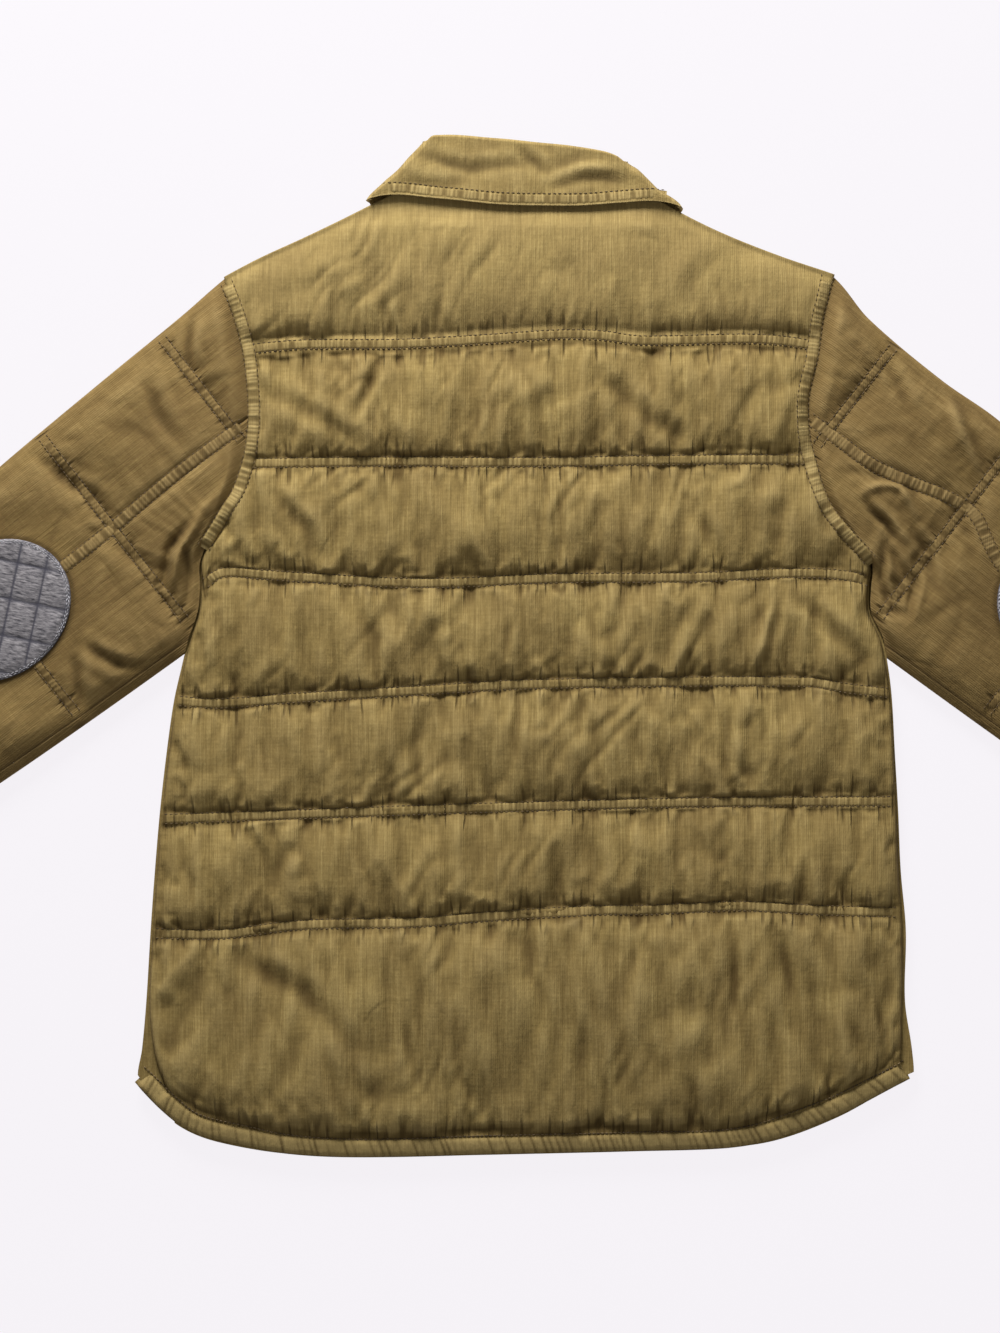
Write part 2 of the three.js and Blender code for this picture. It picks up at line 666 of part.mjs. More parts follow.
function sleeveTop(sleeve, s, n, upper, lower) {
  let k = 0;
  while (k < sleeveTucks.length - 2 && s > sleeveTucks[k + 1]) k += 1;
  const share = (s - sleeveTucks[k]) / (sleeveTucks[k + 1] - sleeveTucks[k]);
  const lift = puff(share) * rolled(Math.min(n - upper, lower - n));
  const depth = troughs(sleeveFolds, "s", "n", s, n);
  const quilted = sleeveHeight + Math.max(sleeveLoft - depth, 0) * lift;
  const along = (s - sleeve.patchAt) / patch.halfLength;
  const beside = (n - patch.across) / patch.halfWidth;
  const fromPatch = smooth((Math.hypot(along, beside) - patch.seatMargin) / 0.5);
  const seated = lerp(patch.seat, quilted, fromPatch);
  return lerp(armholeHeight, seated, smooth((s - sleeveStart(sleeve, n)) / 14));
}

// Once round the flat tube: 0 to 1 over the top layer from its lower edge, 1 to 2 round the
// upper edge, 2 to 3 back along the under layer and 3 to 4 round the lower edge
function ringPlace(sleeve, s, turn, outside) {
  const radius = sleeveHeight / 2;
  const reach = outside ? radius : sleeveSlit / 2;
  const upper = sleeve.upperEdge(s) + radius;
  const lower = sleeve.lowerEdge(s) - radius;
  const leg = Math.floor(turn) % 4;
  const t = turn - Math.floor(turn);
  if (leg === 0) {
    const n = lerp(lower, upper, t);
    return { n, z: outside ? sleeveTop(sleeve, s, n, upper, lower) : radius + reach };
  }
  if (leg === 2) return { n: lerp(upper, lower, t), z: radius - reach };
  const centre = leg === 1 ? upper : lower;
  const way = leg === 1 ? -1 : 1;
  return {
    n: centre + way * reach * Math.sin(Math.PI * t),
    z: radius - way * reach * Math.cos(Math.PI * t),
  };
}

const fanShares = [0, 0.04, 0.12, 0.22, 0.32, 0.42, 0.52, 0.62, 0.74, 0.87, 1];
const armStops = [196, 227, 268, 310, 352, 393, sleeveLength - cuffDepth];
function sleeveWall(sleeve, rows, turns, columnStep) {
  const place = (i, j, outside) => {
    let s = fanEnd;
    let at = ringPlace(sleeve, s, turns[j], outside);
    for (let k = 0; k < 6; k += 1) {
      s = rows[i].fan === undefined
        ? rows[i].s
        : lerp(sleeveStart(sleeve, at.n), fanEnd, rows[i].fan);
      at = ringPlace(sleeve, s, turns[j], outside);
    }
    return armPoint(sleeve, s, at.n, at.z);
  };
  return wall({
    rows: rows.length - 1,
    columns: turns.length - 1,
    outer: (i, j) => place(i, j, true),
    inner: (i, j) => place(i, j, false),
    columnStep,
  });
}

const sleeveRows = [...fanShares.map((fan) => ({ fan })), ...armStops.map((s) => ({ s }))];
const cuffRows = [0, 0.5, 1].map((t) => ({
  s: lerp(sleeveLength - cuffDepth + seamGap, sleeveLength, t),
}));
const underTurns = [0.12, 0.2, 0.28, 0.37, 0.46];
const overTurns = [0.64, 0.74, 0.84, 0.94, 1, 1.25, 1.5, 1.75, 2, 2.25, 2.5, 2.75, 3, 3.25, 3.5, 3.75, 4];
const cuffTurns = [0.25, 0.5, 0.75, 1, 1.33, 1.67, 2, 2.5, 3, 3.33, 3.67, 4];

function sewnBetween(from, turns, to) {
  return [from + seamShare, ...turns, to - seamShare];
}

// Elbow patch, from a square grid drawn out to an oval
function elbowPatch(sleeve) {
  const rows = 16;
  const columns = 14;
  const place = (i, j) => {
    const u = (2 * i) / rows - 1;
    const v = (2 * j) / columns - 1;
    return {
      along: patch.halfLength * u * Math.sqrt(1 - v ** 2 / 2),
      beside: patch.halfWidth * v * Math.sqrt(1 - u ** 2 / 2),
      edge: Math.max(Math.abs(u), Math.abs(v)),
    };
  };
  const point = ({ along, beside }, z) =>
    armPoint(sleeve, sleeve.patchAt + along, patch.across + beside, z);
  const bottom = patch.seat + seamGap;
  const outer = (i, j) => {
    const at = place(i, j);
    const angle = degToRad(patch.tilt);
    const a = at.along * Math.cos(angle) + at.beside * Math.sin(angle);
    const b = at.beside * Math.cos(angle) - at.along * Math.sin(angle);
    const turn = Math.PI / patch.square;
    const padding = Math.abs(Math.cos(turn * a) * Math.cos(turn * b)) ** 0.5;
    const loft = patch.loft * padding * Math.min((1 - at.edge) * 4, 1);
    return point(at, bottom + patch.wall + loft);
  };
  const inner = (i, j) => point(place(i, j), bottom);
  return wall({ rows, columns, outer, inner, rowStep: 4, columnStep: 7 });
}

addPiece("back_yoke", yoke(), bodyCord);
addPiece("back_panel", backPanel(), bodyCord);
addPiece("left_front", front(-1), bodyCord);
addPiece("right_front", front(1), bodyCord);
addPiece("button_stand", buttonStand(), bodyCord);
addPiece("collar_leaf", collarLeaf(), bodyCord);
addPiece("collar_stand", collarStand(), bodyCord);
buttonPlaces.forEach((y, i) => addPiece(`button_${i + 1}`, buttonDisc(y), darkHorn));
for (const [name, sleeve] of [["left", leftSleeve], ["right", rightSleeve]]) {
  sleeve.upperEdge = curve(sleeve.edges, "s", "top");
  sleeve.lowerEdge = curve(sleeve.edges, "s", "bottom");
  const underSleeve = sewnBetween(underarmSeam, underTurns, backArmSeam);
  const upperSleeve = sewnBetween(backArmSeam, overTurns, 4 + underarmSeam);
  const cuff = sewnBetween(underarmSeam, cuffTurns, 4 + underarmSeam);
  addPiece(`${name}_under_sleeve`, sleeveWall(sleeve, sleeveRows, underSleeve, 2), sleeveCord);
  addPiece(`${name}_upper_sleeve`, sleeveWall(sleeve, sleeveRows, upperSleeve, 2), sleeveCord);
  addPiece(`${name}_cuff`, sleeveWall(sleeve, cuffRows, cuff, 1), sleeveCord);
  addPiece(`${name}_elbow_patch`, elbowPatch(sleeve), greyMarl);
}

const extent = new THREE.Box3().setFromObject(laidOut);
const middle = extent.getCenter(new THREE.Vector3());
laidOut.position.set(-middle.x, -middle.y, -extent.min.z);

const jacket = new THREE.Group();
jacket.add(laidOut);
export default jacket;
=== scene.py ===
import math
import random

import bmesh
import bpy
import numpy as np
from mathutils import Matrix, Vector
from mathutils.bvhtree import BVHTree


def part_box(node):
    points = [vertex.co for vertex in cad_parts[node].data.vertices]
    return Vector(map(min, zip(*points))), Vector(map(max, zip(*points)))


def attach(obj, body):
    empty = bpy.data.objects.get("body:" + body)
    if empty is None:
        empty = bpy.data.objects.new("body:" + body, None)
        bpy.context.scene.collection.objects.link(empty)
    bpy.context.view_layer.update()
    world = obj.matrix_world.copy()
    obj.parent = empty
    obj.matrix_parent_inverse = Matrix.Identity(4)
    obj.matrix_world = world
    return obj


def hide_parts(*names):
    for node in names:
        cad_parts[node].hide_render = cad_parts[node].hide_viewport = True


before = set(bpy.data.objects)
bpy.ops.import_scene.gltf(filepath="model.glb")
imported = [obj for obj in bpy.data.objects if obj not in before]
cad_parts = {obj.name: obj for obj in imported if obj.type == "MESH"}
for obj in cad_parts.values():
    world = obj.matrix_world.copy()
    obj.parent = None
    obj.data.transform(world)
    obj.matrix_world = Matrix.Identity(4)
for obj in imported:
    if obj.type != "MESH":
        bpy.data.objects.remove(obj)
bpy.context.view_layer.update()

# The table top and the light. The jacket lies face down on a plain pale surface and is seen
# from straight above, 0.58 mm to each of the 1000 pixels across. Tables in this file are in
# millimetres, across from the centre back and up from the lowest point of the hem.
button_low, button_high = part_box("button_1")
CENTRE_BACK = (button_low[0] + button_high[0]) / 2
HEM_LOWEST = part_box("back_panel")[0][1]


def metres(x, y, z):
    """Points in millimetres on the jacket, as metres in the frame."""
    x, y, z = np.broadcast_arrays(x, y, z)
    return np.stack([x / 1000 + CENTRE_BACK, y / 1000 + HEM_LOWEST, z / 1000], axis=-1)


def placed(name, data):
    """An object of some data, linked to the scene."""
    made = bpy.data.objects.new(name, data)
    bpy.context.collection.objects.link(made)
    return made


def new_material(name, **values):
    """A material, its node tree and its shader, with some values set on the shader."""
    material = bpy.data.materials.new(name)
    material.use_nodes = True
    shader = material.node_tree.nodes["Principled BSDF"]
    for socket, value in values.items():
        shader.inputs[socket.replace("_", " ")].default_value = value
    return material, material.node_tree, shader


bm = bmesh.new()
bmesh.ops.create_grid(bm, x_segments=1, y_segments=1, size=3)
bmesh.ops.translate(bm, verts=bm.verts, vec=(0, 0, -0.0003))
table_data = bpy.data.meshes.new("table_top")
bm.to_mesh(table_data)
bm.free()
table_top = placed("table_top", table_data)
paper = new_material(
    "pale_paper", Base_Color=(0.05, 0.05, 0.05, 1), Roughness=0.9, Specular_IOR_Level=0.0,
    Emission_Color=(0.882, 0.854, 0.890, 1), Emission_Strength=1.0)[0]
table_data.materials.append(paper)

LENS, SENSOR = 85, 36
PICTURE_HEIGHT = 1.333 * 0.58
camera_data = bpy.data.cameras.new("overhead")
camera_data.lens = LENS
camera_data.sensor_width = SENSOR
camera = placed("overhead", camera_data)
middle_x, middle_y, middle_z = metres(-15.7, 284.5, 12)
camera.location = (middle_x, middle_y, middle_z + LENS / SENSOR * PICTURE_HEIGHT)
bpy.context.scene.camera = camera

for name, place, size, power in (
    ("window", (-0.3, 1.35, 0.66), 0.6, 43),
    ("ceiling", (0.5, -0.3, 1.9), 1.6, 4),
):
    lamp = bpy.data.lights.new(name, "AREA")
    lamp.shape = "DISK"
    lamp.size = size
    lamp.energy = power
    lamp_object = placed(name, lamp)
    lamp_object.location = place
    aim = Vector((middle_x, middle_y, 0)) - Vector(place)
    lamp_object.rotation_euler = aim.to_track_quat("-Z", "Y").to_euler()
world = bpy.data.worlds.new("studio")
world.use_nodes = True
world.node_tree.nodes["Background"].inputs["Color"].default_value = (0.97, 0.98, 1, 1)
world.node_tree.nodes["Background"].inputs["Strength"].default_value = 0.222
bpy.context.scene.world = world
bpy.context.scene.view_settings.view_transform = "Standard"


# Needlecord: fine ribs of cut pile that run up the body. Garment dyeing leaves it streaked,
# and it is paler where ridges and seams are worn. Shade is painted darker into its creases and hollows.
def feed(tree, socket, term):
    """Links another node's socket to an input, or sets the input to a plain value."""
    if isinstance(term, bpy.types.NodeSocket):
        tree.links.new(term, socket)
    else:
        socket.default_value = term


def add_node(tree, kind, *terms, **values):
    """A new node. Terms go to its inputs in order, and named values to the setting or the
    input of that name."""
    node = tree.nodes.new(kind)
    for name, value in values.items():
        if hasattr(node, name):
            setattr(node, name, value)
        else:
            feed(tree, node.inputs[name.replace("_", " ")], value)
    for socket, term in zip(node.inputs, terms):
        feed(tree, socket, term)
    return node


def noise_at(tree, vector, stretch, detail, roughness=0.5, turn=0.0):
    """Noise on a vector that is stretched, and turned by some degrees."""
    mapping = add_node(
        tree, "ShaderNodeMapping", Vector=vector, Scale=stretch, Rotation=(0, 0, math.radians(turn)))
    noise = add_node(tree, "ShaderNodeTexNoise", Vector=mapping.outputs["Vector"], Scale=1.0,
                     Detail=float(detail), Roughness=roughness)
    return noise.outputs["Fac"]


def ramped(tree, share, *stops):
    """A colour ramp from its first and last stops, then any between them."""
    node = add_node(tree, "ShaderNodeValToRGB", Fac=share)
    for k, (position, colour) in enumerate(stops):
        elements = node.color_ramp.elements
        element = elements[k] if k < 2 else elements.new(position)
        element.position = position
        element.color = (*colour, 1)
    return node.outputs["Color"]


def surfaced(tree, colour, height, relief=0.0004):
    """Links a colour and a fine relief to the shader of a material."""
    shader = tree.nodes["Principled BSDF"]
    bump = add_node(tree, "ShaderNodeBump", Strength=1.0, Distance=relief, Height=height)
    feed(tree, shader.inputs["Base Color"], colour)
    feed(tree, shader.inputs["Normal"], bump.outputs["Normal"])


RIB_PITCH = 0.0011


def build_pile_group():
    """Streaks of dyed pile and the height of its ribs. The ribs run along Y of the vector."""
    group = bpy.data.node_groups.new("needlecord_pile", "ShaderNodeTree")
    group.interface.new_socket("Vector", in_out="INPUT", socket_type="NodeSocketVector")
    group.interface.new_socket("Gathered", in_out="INPUT", socket_type="NodeSocketFloat")
    for socket in ("Streak", "Cloud", "Crease", "Height"):
        group.interface.new_socket(socket, in_out="OUTPUT", socket_type="NodeSocketFloat")
    given = group.nodes.new("NodeGroupInput")
    result = group.nodes.new("NodeGroupOutput")

    def maths(operation, *terms):
        return add_node(group, "ShaderNodeMath", *terms, operation=operation).outputs[0]

    def mixed(share, a, b):
        node = add_node(group, "ShaderNodeMix", data_type="FLOAT", Factor=share, A=a, B=b)
        return node.outputs["Result"]

    def between(value, low, high, top=1.0, kind="LINEAR"):
        node = add_node(group, "ShaderNodeMapRange", interpolation_type=kind, Value=value,
                        From_Min=low, From_Max=high, To_Max=top)
        return node.outputs["Result"]

    def thin_lines(value, width):
        """Lines where a noise crosses its middle value."""
        return between(maths("ABSOLUTE", maths("SUBTRACT", value, 0.5)), width, 0.0, 1.0, "SMOOTHSTEP")

    noises = {name: noise_at(group, given.outputs["Vector"], stretch, detail, 0.6) for
              name, stretch, detail in (
        ("thread", (1050, 50, 1), 2), ("streak", (560, 15, 1), 3), ("cloud", (24, 18, 1), 3),
        ("slub", (70, 620, 1), 2), ("crinkle", (190, 85, 1), 3), ("tuck", (95, 8, 1), 1),
        ("reach", (70, 3, 1), 1), ("fold", (30, 15, 1), 0),
    )}
    crossed = mixed(0.2, mixed(0.42, noises["thread"], noises["streak"]), noises["slub"])
    split = add_node(group, "ShaderNodeSeparateXYZ", given.outputs["Vector"])
    wave = maths("SINE", maths("MULTIPLY", split.outputs["X"], math.tau / RIB_PITCH))
    ribs = maths("MULTIPLY_ADD", wave, 0.12, crossed)
    crinkled = maths("MULTIPLY_ADD", noises["crinkle"], 2.2, ribs)
    # Crease lines near the stitching and patchy folds: they dent the bump, and the material paints
    # shade along them.
    short = maths("SUBTRACT", given.outputs["Gathered"], noises["reach"])
    near = between(short, -0.06, 0.3, 1.0, "SMOOTHSTEP")
    crease = maths("MULTIPLY", thin_lines(noises["tuck"], 0.045), near)
    patchy = between(noises["cloud"], 0.42, 0.68, 0.3)
    crumpled = maths("MULTIPLY", thin_lines(noises["fold"], 0.05), patchy)
    folds = maths("MAXIMUM", crease, crumpled)
    feed(group, result.inputs["Streak"], between(crossed, 0.36, 0.65))
    feed(group, result.inputs["Cloud"], noises["cloud"])
    feed(group, result.inputs["Crease"], folds)
    feed(group, result.inputs["Height"], maths("MULTIPLY_ADD", folds, -2.0, crinkled))
    return group


pile_group = build_pile_group()


def needlecord(name, deep, mid, worn, contrast):
    """A dyed needlecord, from the deep, middle and worn tones of its dye."""
    material, tree, _ = new_material(
        name, Roughness=0.9, Specular_IOR_Level=0.15, Sheen_Weight=0.08, Sheen_Roughness=0.4,
        Sheen_Tint=(*worn, 1))
    place = add_node(tree, "ShaderNodeUVMap", uv_map="cloth")
    gathered, painted_shade, ridge = (
        add_node(tree, "ShaderNodeAttribute", attribute_name=attribute).outputs["Fac"]
        for attribute in ("gathered", "painted_shade", "ridge"))
    pile = add_node(tree, "ShaderNodeGroup", node_tree=pile_group)
    feed(tree, pile.inputs["Vector"], place.outputs["UV"])
    feed(tree, pile.inputs["Gathered"], gathered)
    low, high = 0.55 * contrast, 0.6 * contrast
    dyed = ramped(
        tree, pile.outputs["Streak"], (0.0, [m + (d - m) * low for d, m in zip(deep, mid)]),
        (1.0, [m + (w - m) * high for w, m in zip(worn, mid)]), (0.5, mid))
    tone = ramped(
        tree, pile.outputs["Cloud"], (0.3, (0.83, 0.81, 0.77)), (0.7, (1.10, 1.11, 1.05)))
    clouded = add_node(tree, "ShaderNodeMix", data_type="RGBA", blend_type="MULTIPLY", Factor=1.0,
                       A=dyed, B=tone)
    colour = clouded.outputs["Result"]
    # Painted shade: the colour is mixed toward the deep tone along the crease lines of the pile and in
    # the hollows, where shade falls. Ridges are mixed toward the worn tone, as wear.
    for mask, tint, amount in (
        (pile.outputs["Crease"], deep, 0.75), (painted_shade, deep, 0.8), (ridge, worn, 0.7),
    ):
        share = add_node(tree, "ShaderNodeMath", mask, amount, operation="MULTIPLY")
        mixed = add_node(tree, "ShaderNodeMix", data_type="RGBA", Factor=share.outputs[0],
                         A=colour, B=(*tint, 1))
        colour = mixed.outputs["Result"]
    surfaced(tree, colour, pile.outputs["Height"])
    return material


body_cord = needlecord(
    "body_needlecord", (0.072, 0.043, 0.012), (0.238, 0.166, 0.059), (0.46, 0.345, 0.146), 0.62)


# Quilted back panel: needlecord over wadding, sewn through in twin rows from the yoke seam
# down to a curved shirt-tail hem. The spare cloth between the rows puffs up and puckers.
def flowing(*points):
    """A smooth line through a few measured points, as a function of the first measure."""
    at, value = np.array(points, float).T
    slope = np.empty_like(value)
    slope[1:-1] = (value[2:] - value[:-2]) / (at[2:] - at[:-2])
    slope[0] = (value[1] - value[0]) / (at[1] - at[0])
    slope[-1] = (value[-1] - value[-2]) / (at[-1] - at[-2])

    def line(wanted):
        x = np.clip(wanted, at[0], at[-1])
        i = np.clip(np.searchsorted(at, x, side="right") - 1, 0, len(at) - 2)
        span = at[i + 1] - at[i]
        t = (x - at[i]) / span
        eased = value[i] + (value[i + 1] - value[i]) * t * t * (3 - 2 * t)
        return eased + (t - 1) ** 2 * t * span * slope[i] + (t - 1) * t * t * span * slope[i + 1]

    return line


def eased(t):
    return t * t * (3 - 2 * t)


side_heights = (
    30, 45, 62, 90, 131, 166, 201, 236, 264, 282, 300, 316, 330, 345, 363, 378, 404, 430, 456,
    485, 515)
back_left = flowing(*zip(side_heights, (
    -205, -212, -217, -219.5, -217.5, -215, -212, -208, -204, -200, -195.5, -190.5, -189, -189.5,
    -182, -175, -166, -163, -164.5, -171, -177)))
back_right = flowing(*zip(side_heights, (
    211, 216, 217.5, 218, 218, 216, 214.5, 213, 211, 209, 205.5, 198.5, 198, 199, 187, 177, 167,
    163, 167.5, 172.5, 179.5)))
hem_edge = flowing(
    (-228, 46), (-219, 33), (-202, 17), (-178, 7.5), (-132, 0.5), (-60, 0), (20, 1.5),
    (112, 4.5), (145, 9), (181, 22.5), (212, 39.5), (226, 46))
hem_stitching = flowing(
    (-224, 53), (-214, 43.5), (-201, 31.5), (-190, 24), (-161, 17), (-143, 13), (-114, 10.2),
    (-74, 10), (-33, 11.6), (42, 13.3), (66, 14), (112, 15), (135, 19), (158, 27), (181, 36),
    (193, 42), (205, 48), (226, 59))
yoke_seam = flowing(
    (-170, 468), (-132, 471.5), (-74, 472), (-27, 474.5), (19, 477.5), (42, 477), (66, 474),
    (124, 475), (147, 474), (170, 470.5))
quilting = [
    flowing((-170, 402.5), (-80, 403.6), (0, 403.2), (90, 404.6), (170, 404.8)),
    flowing(
        (-190, 331), (-178, 338.7), (-155, 338), (-132, 336.4), (-62, 333), (19, 335.8),
        (100, 336.4), (147, 338.7), (181, 338), (200, 334)),
    flowing(
        (-205, 264.8), (-181, 263), (-132, 266.5), (-62, 270.6), (-4, 274), (100, 275.8),
        (147, 275.8), (170, 275), (182, 272.4), (212, 269)),
    flowing((-213, 195.8), (-132, 198.7), (-16, 202.7), (100, 205.6), (215, 206.2)),
    flowing(
        (-219, 129.6), (-178, 129), (-132, 134.3), (-62, 136), (-27, 139), (42, 143), (66, 143),
        (124, 145.3), (170, 143), (214, 141.8)),
]
LINING = 6.3
SEWN_DOWN = 9.1
BAND = 5.6
SEAM_HALF = 2.6
LEAST_WADDING = 0.6
EDGE_ROLL = 16


def points_of(mesh):
    flat = np.empty(len(mesh.vertices) * 3)
    mesh.vertices.foreach_get("co", flat)
    return flat.reshape(-1, 3)


def in_mm(points):
    return (points - metres(0, 0, 0)) * 1000


def set_points(mesh, x, y, z):
    mesh.vertices.foreach_set("co", metres(x, y, z).astype(np.float32).ravel())


def cloth_grid(name, across, along, place):
    """A grid of cloth with row-by-row points. place turns shares across and along the piece
    into a place on the jacket and a place on the cloth, both in millimetres."""
    bm = bmesh.new()
    bm.loops.layers.uv.new("cloth")
    bmesh.ops.create_grid(bm, x_segments=across, y_segments=along, size=0.5, calc_uvs=True)
    mesh = bpy.data.meshes.new(name)
    bm.to_mesh(mesh)
    bm.free()
    shares = points_of(mesh)[:, :2] + 0.5
    spots, cloth = place(shares[:, 0], shares[:, 1])
    set_points(mesh, *spots)
    corner = np.empty(len(mesh.loops), dtype=np.int32)
    mesh.loops.foreach_get("vertex_index", corner)
    woven = np.stack(np.broadcast_arrays(*cloth), axis=-1)[corner] / 1000
    mesh.uv_layers["cloth"].data.foreach_set("uv", woven.astype(np.float32).ravel())
    mesh.update()
    mesh.shade_smooth()
    return placed(name, mesh)


def smoothed(values, passes):
    """A grid of values with its small detail rubbed out."""
    for _ in range(passes):
        wide = np.pad(values, ((1, 1), (0, 0)), mode="edge")
        values = (wide[:-2] + wide[1:-1] + wide[2:]) / 3
        wide = np.pad(values, ((0, 0), (1, 1)), mode="edge")
        values = (wide[:, :-2] + wide[:, 1:-1] + wide[:, 2:]) / 3
    return values


def paint(sheet, name, values):
    mesh = sheet.data
    layer = mesh.attributes.get(name) or mesh.attributes.new(name, "FLOAT", "POINT")
    layer.data.foreach_set("value", np.clip(values, 0, 1).astype(np.float32).ravel())


def paint_relief(sheet, columns, passes=10, depth=1.7, extra_shade=0.0, extra_ridge=0.0):
    """Paints shade into the hollows of a grid of cloth, and marks its ridges where the pile wears pale.
    """
    z = points_of(sheet.data)[:, 2].reshape(-1, columns + 1) * 1000
    rise = (z - smoothed(z, passes)) / depth
    # Painted shade: the deeper a hollow, the darker it is painted.
    paint(sheet, "painted_shade", np.clip(-rise, 0, 1) + extra_shade)
    paint(sheet, "ridge", np.clip(rise, 0, 1) * 0.5 + extra_ridge)


def across_body(line, share):
    """Where a line across the body lies at a share of the way between its edges."""
    x = -200 + 400 * share
    for _ in range(10):
        y = line(x)
        x = back_left(y) * (1 - share) + back_right(y) * share
    return x, line(x)


def stacked_lines(lines, share):
    """The line at a share of the way down a stack of lines, closer together at each of them."""
    count = len(lines) - 1
    k = np.minimum((share * count).astype(int), count - 1)
    t = share * count - k
    t = t - 0.38 * np.sin(math.tau * t) / math.tau

    def line(x):
        rows = np.stack([each(x) for each in lines])
        column = np.arange(len(x))
        return rows[k, column] * (1 - t) + rows[k + 1, column] * t

    return line


def unevenness(x, y, seed, shortest, longest, height):
    """Slow waves in random directions, as cloth has that was washed and pressed by hand."""
    draw = random.Random(seed)
    total = np.zeros_like(x)
    for _ in range(14):
        length = draw.uniform(shortest, longest)
        turn = draw.uniform(0, math.pi)
        reach = x * math.cos(turn) + y * math.sin(turn)
        total = total + np.sin(math.tau * reach / length + draw.uniform(0, math.tau))
    return total * height / 5


def drifting(u, v, seed):
    """Smooth random values from -1 to 1 that change over about one unit either way."""
    table = np.random.default_rng(seed).uniform(-1, 1, (64, 64))
    i, j = np.floor(u).astype(int), np.floor(v).astype(int)
    a, b = u - i, v - j
    a, b = eased(a), eased(b)
    low = table[i % 64, j % 64] * (1 - a) + table[(i + 1) % 64, j % 64] * a
    high = table[i % 64, (j + 1) % 64] * (1 - a) + table[(i + 1) % 64, (j + 1) % 64] * a
    return low * (1 - b) + high * b


def rumpled(x, y, seed, strength=1.0):
    """A net of soft creases with pillows between them, longer up the cloth than across it."""
    bend_x = x + 9 * drifting(x / 33, y / 41, seed + 1)
    bend_y = y + 9 * drifting(x / 37, y / 29, seed + 2)
    total = np.zeros_like(x)
    for k, (turn, along, across, height) in enumerate((
        (72, 46, 19, 1.1), (112, 38, 15, 0.85), (58, 27, 9, 0.75), (96, 16, 6, 0.45),
    )):
        angle = math.radians(turn)
        u = (bend_x * math.cos(angle) + bend_y * math.sin(angle)) / along
        v = (bend_y * math.cos(angle) - bend_x * math.sin(angle)) / across
        net = np.sqrt(drifting(u, v, seed + 10 + k) ** 2 + 0.004)
        patchy = np.clip(0.55 + drifting(x / 52, y / 44, seed + 20 + k), 0.1, 1)
        total += height * patchy * (0.42 - net)
    return total * strength


def creased(x, y, path, width, depth, lip=0.45):
    """Depth of one crease that runs along a path and fades at both ends, with a raised lip."""
    path = np.array(path, float)
    steps = np.diff(path, axis=0)
    lengths = np.hypot(*steps.T)
    nearest = np.full(x.shape, 1e9)
    share = np.zeros(x.shape)
    side = np.zeros(x.shape)
    travelled = 0
    for start, step, length in zip(path[:-1], steps, lengths):
        dx, dy = x - start[0], y - start[1]
        t = np.clip((dx * step[0] + dy * step[1]) / length ** 2, 0, 1)
        away = np.hypot(dx - t * step[0], dy - t * step[1])
        closer = away < nearest
        nearest = np.where(closer, away, nearest)
        share = np.where(closer, (travelled + t * length) / lengths.sum(), share)
        side = np.where(closer, np.sign(step[0] * dy - step[1] * dx), side)
        travelled += length
    fade = np.sin(math.pi * np.clip(share * 0.9 + 0.05, 0, 1)) ** 0.8
    ridge = np.exp(-(((nearest * side) / width - 1.9) ** 2)) * lip
    return depth * fade * (np.exp(-((nearest / width) ** 2)) - ridge)


def with_creases(depth, x, y, table, wider=1, deeper=1):
    """Adds each crease of a table of paths, widths and depths."""
    for path, width, amount in table:
        depth = depth + creased(x, y, path, wider * width, deeper * amount)
    return depth


def gathers(x, y, line, seed, ends, way, deepest=1.5, spacing=(4, 15)):
    """Short puckers that run away from a stitched line, unevenly spaced along it."""
    draw = random.Random(seed)
    total = np.zeros_like(x)
    at = ends[0] + draw.uniform(*spacing)
    while at < ends[1]:
        length = draw.uniform(5, 20)
        width = draw.uniform(1.1, 2.6)
        depth = deepest * draw.uniform(0.25, 1) * (-1 if draw.random() < 0.4 else 1)
        lean = draw.uniform(-0.45, 0.45)
        near = np.abs(x - at) < 34
        up = (y[near] - line(x[near])) * way
        clear = np.maximum(up, 0)
        beside = (x[near] - at - lean * up) / (width * (1 + clear / 26))
        total[near] += depth * np.exp(-beside ** 2 - (clear / length) ** 2) * (up > -1)
        at += draw.uniform(*spacing)
    return total


def pucker(sheet, sewn, spare, pressure, frames, cap=6.0):
    """Lets a sheet with spare cloth puff and pucker between the points that are sewn down, and
    gives how far each point moved, in millimetres."""
    before = points_of(sheet.data)
    group = sheet.vertex_groups.new(name="sewn")
    group.add([int(i) for i in np.flatnonzero(sewn)], 1.0, "REPLACE")
    modifier = sheet.modifiers.new("Cloth", "CLOTH")
    cloth = modifier.settings
    cloth.quality = 5
    cloth.mass = 0.15
    cloth.tension_stiffness = 18
    cloth.compression_stiffness = 18
    cloth.shear_stiffness = 6
    cloth.bending_stiffness = 0.25
    cloth.air_damping = 2
    cloth.vertex_group_mass = "sewn"
    cloth.shrink_min = -spare
    cloth.use_pressure = True
    cloth.uniform_pressure_force = pressure
    cloth.effector_weights.gravity = 0
    modifier.collision_settings.use_collision = False
    modifier.point_cache.frame_start = 1
    modifier.point_cache.frame_end = frames
    for step in range(1, frames + 1):
        bpy.context.scene.frame_set(step)
    seen = sheet.evaluated_get(bpy.context.evaluated_depsgraph_get())
    moved = (points_of(seen.data) - before) * 1000
    bpy.context.scene.frame_set(1)
    length = np.linalg.norm(moved, axis=1, keepdims=True)
    return moved * np.minimum(1, cap / np.maximum(length, 1e-6))


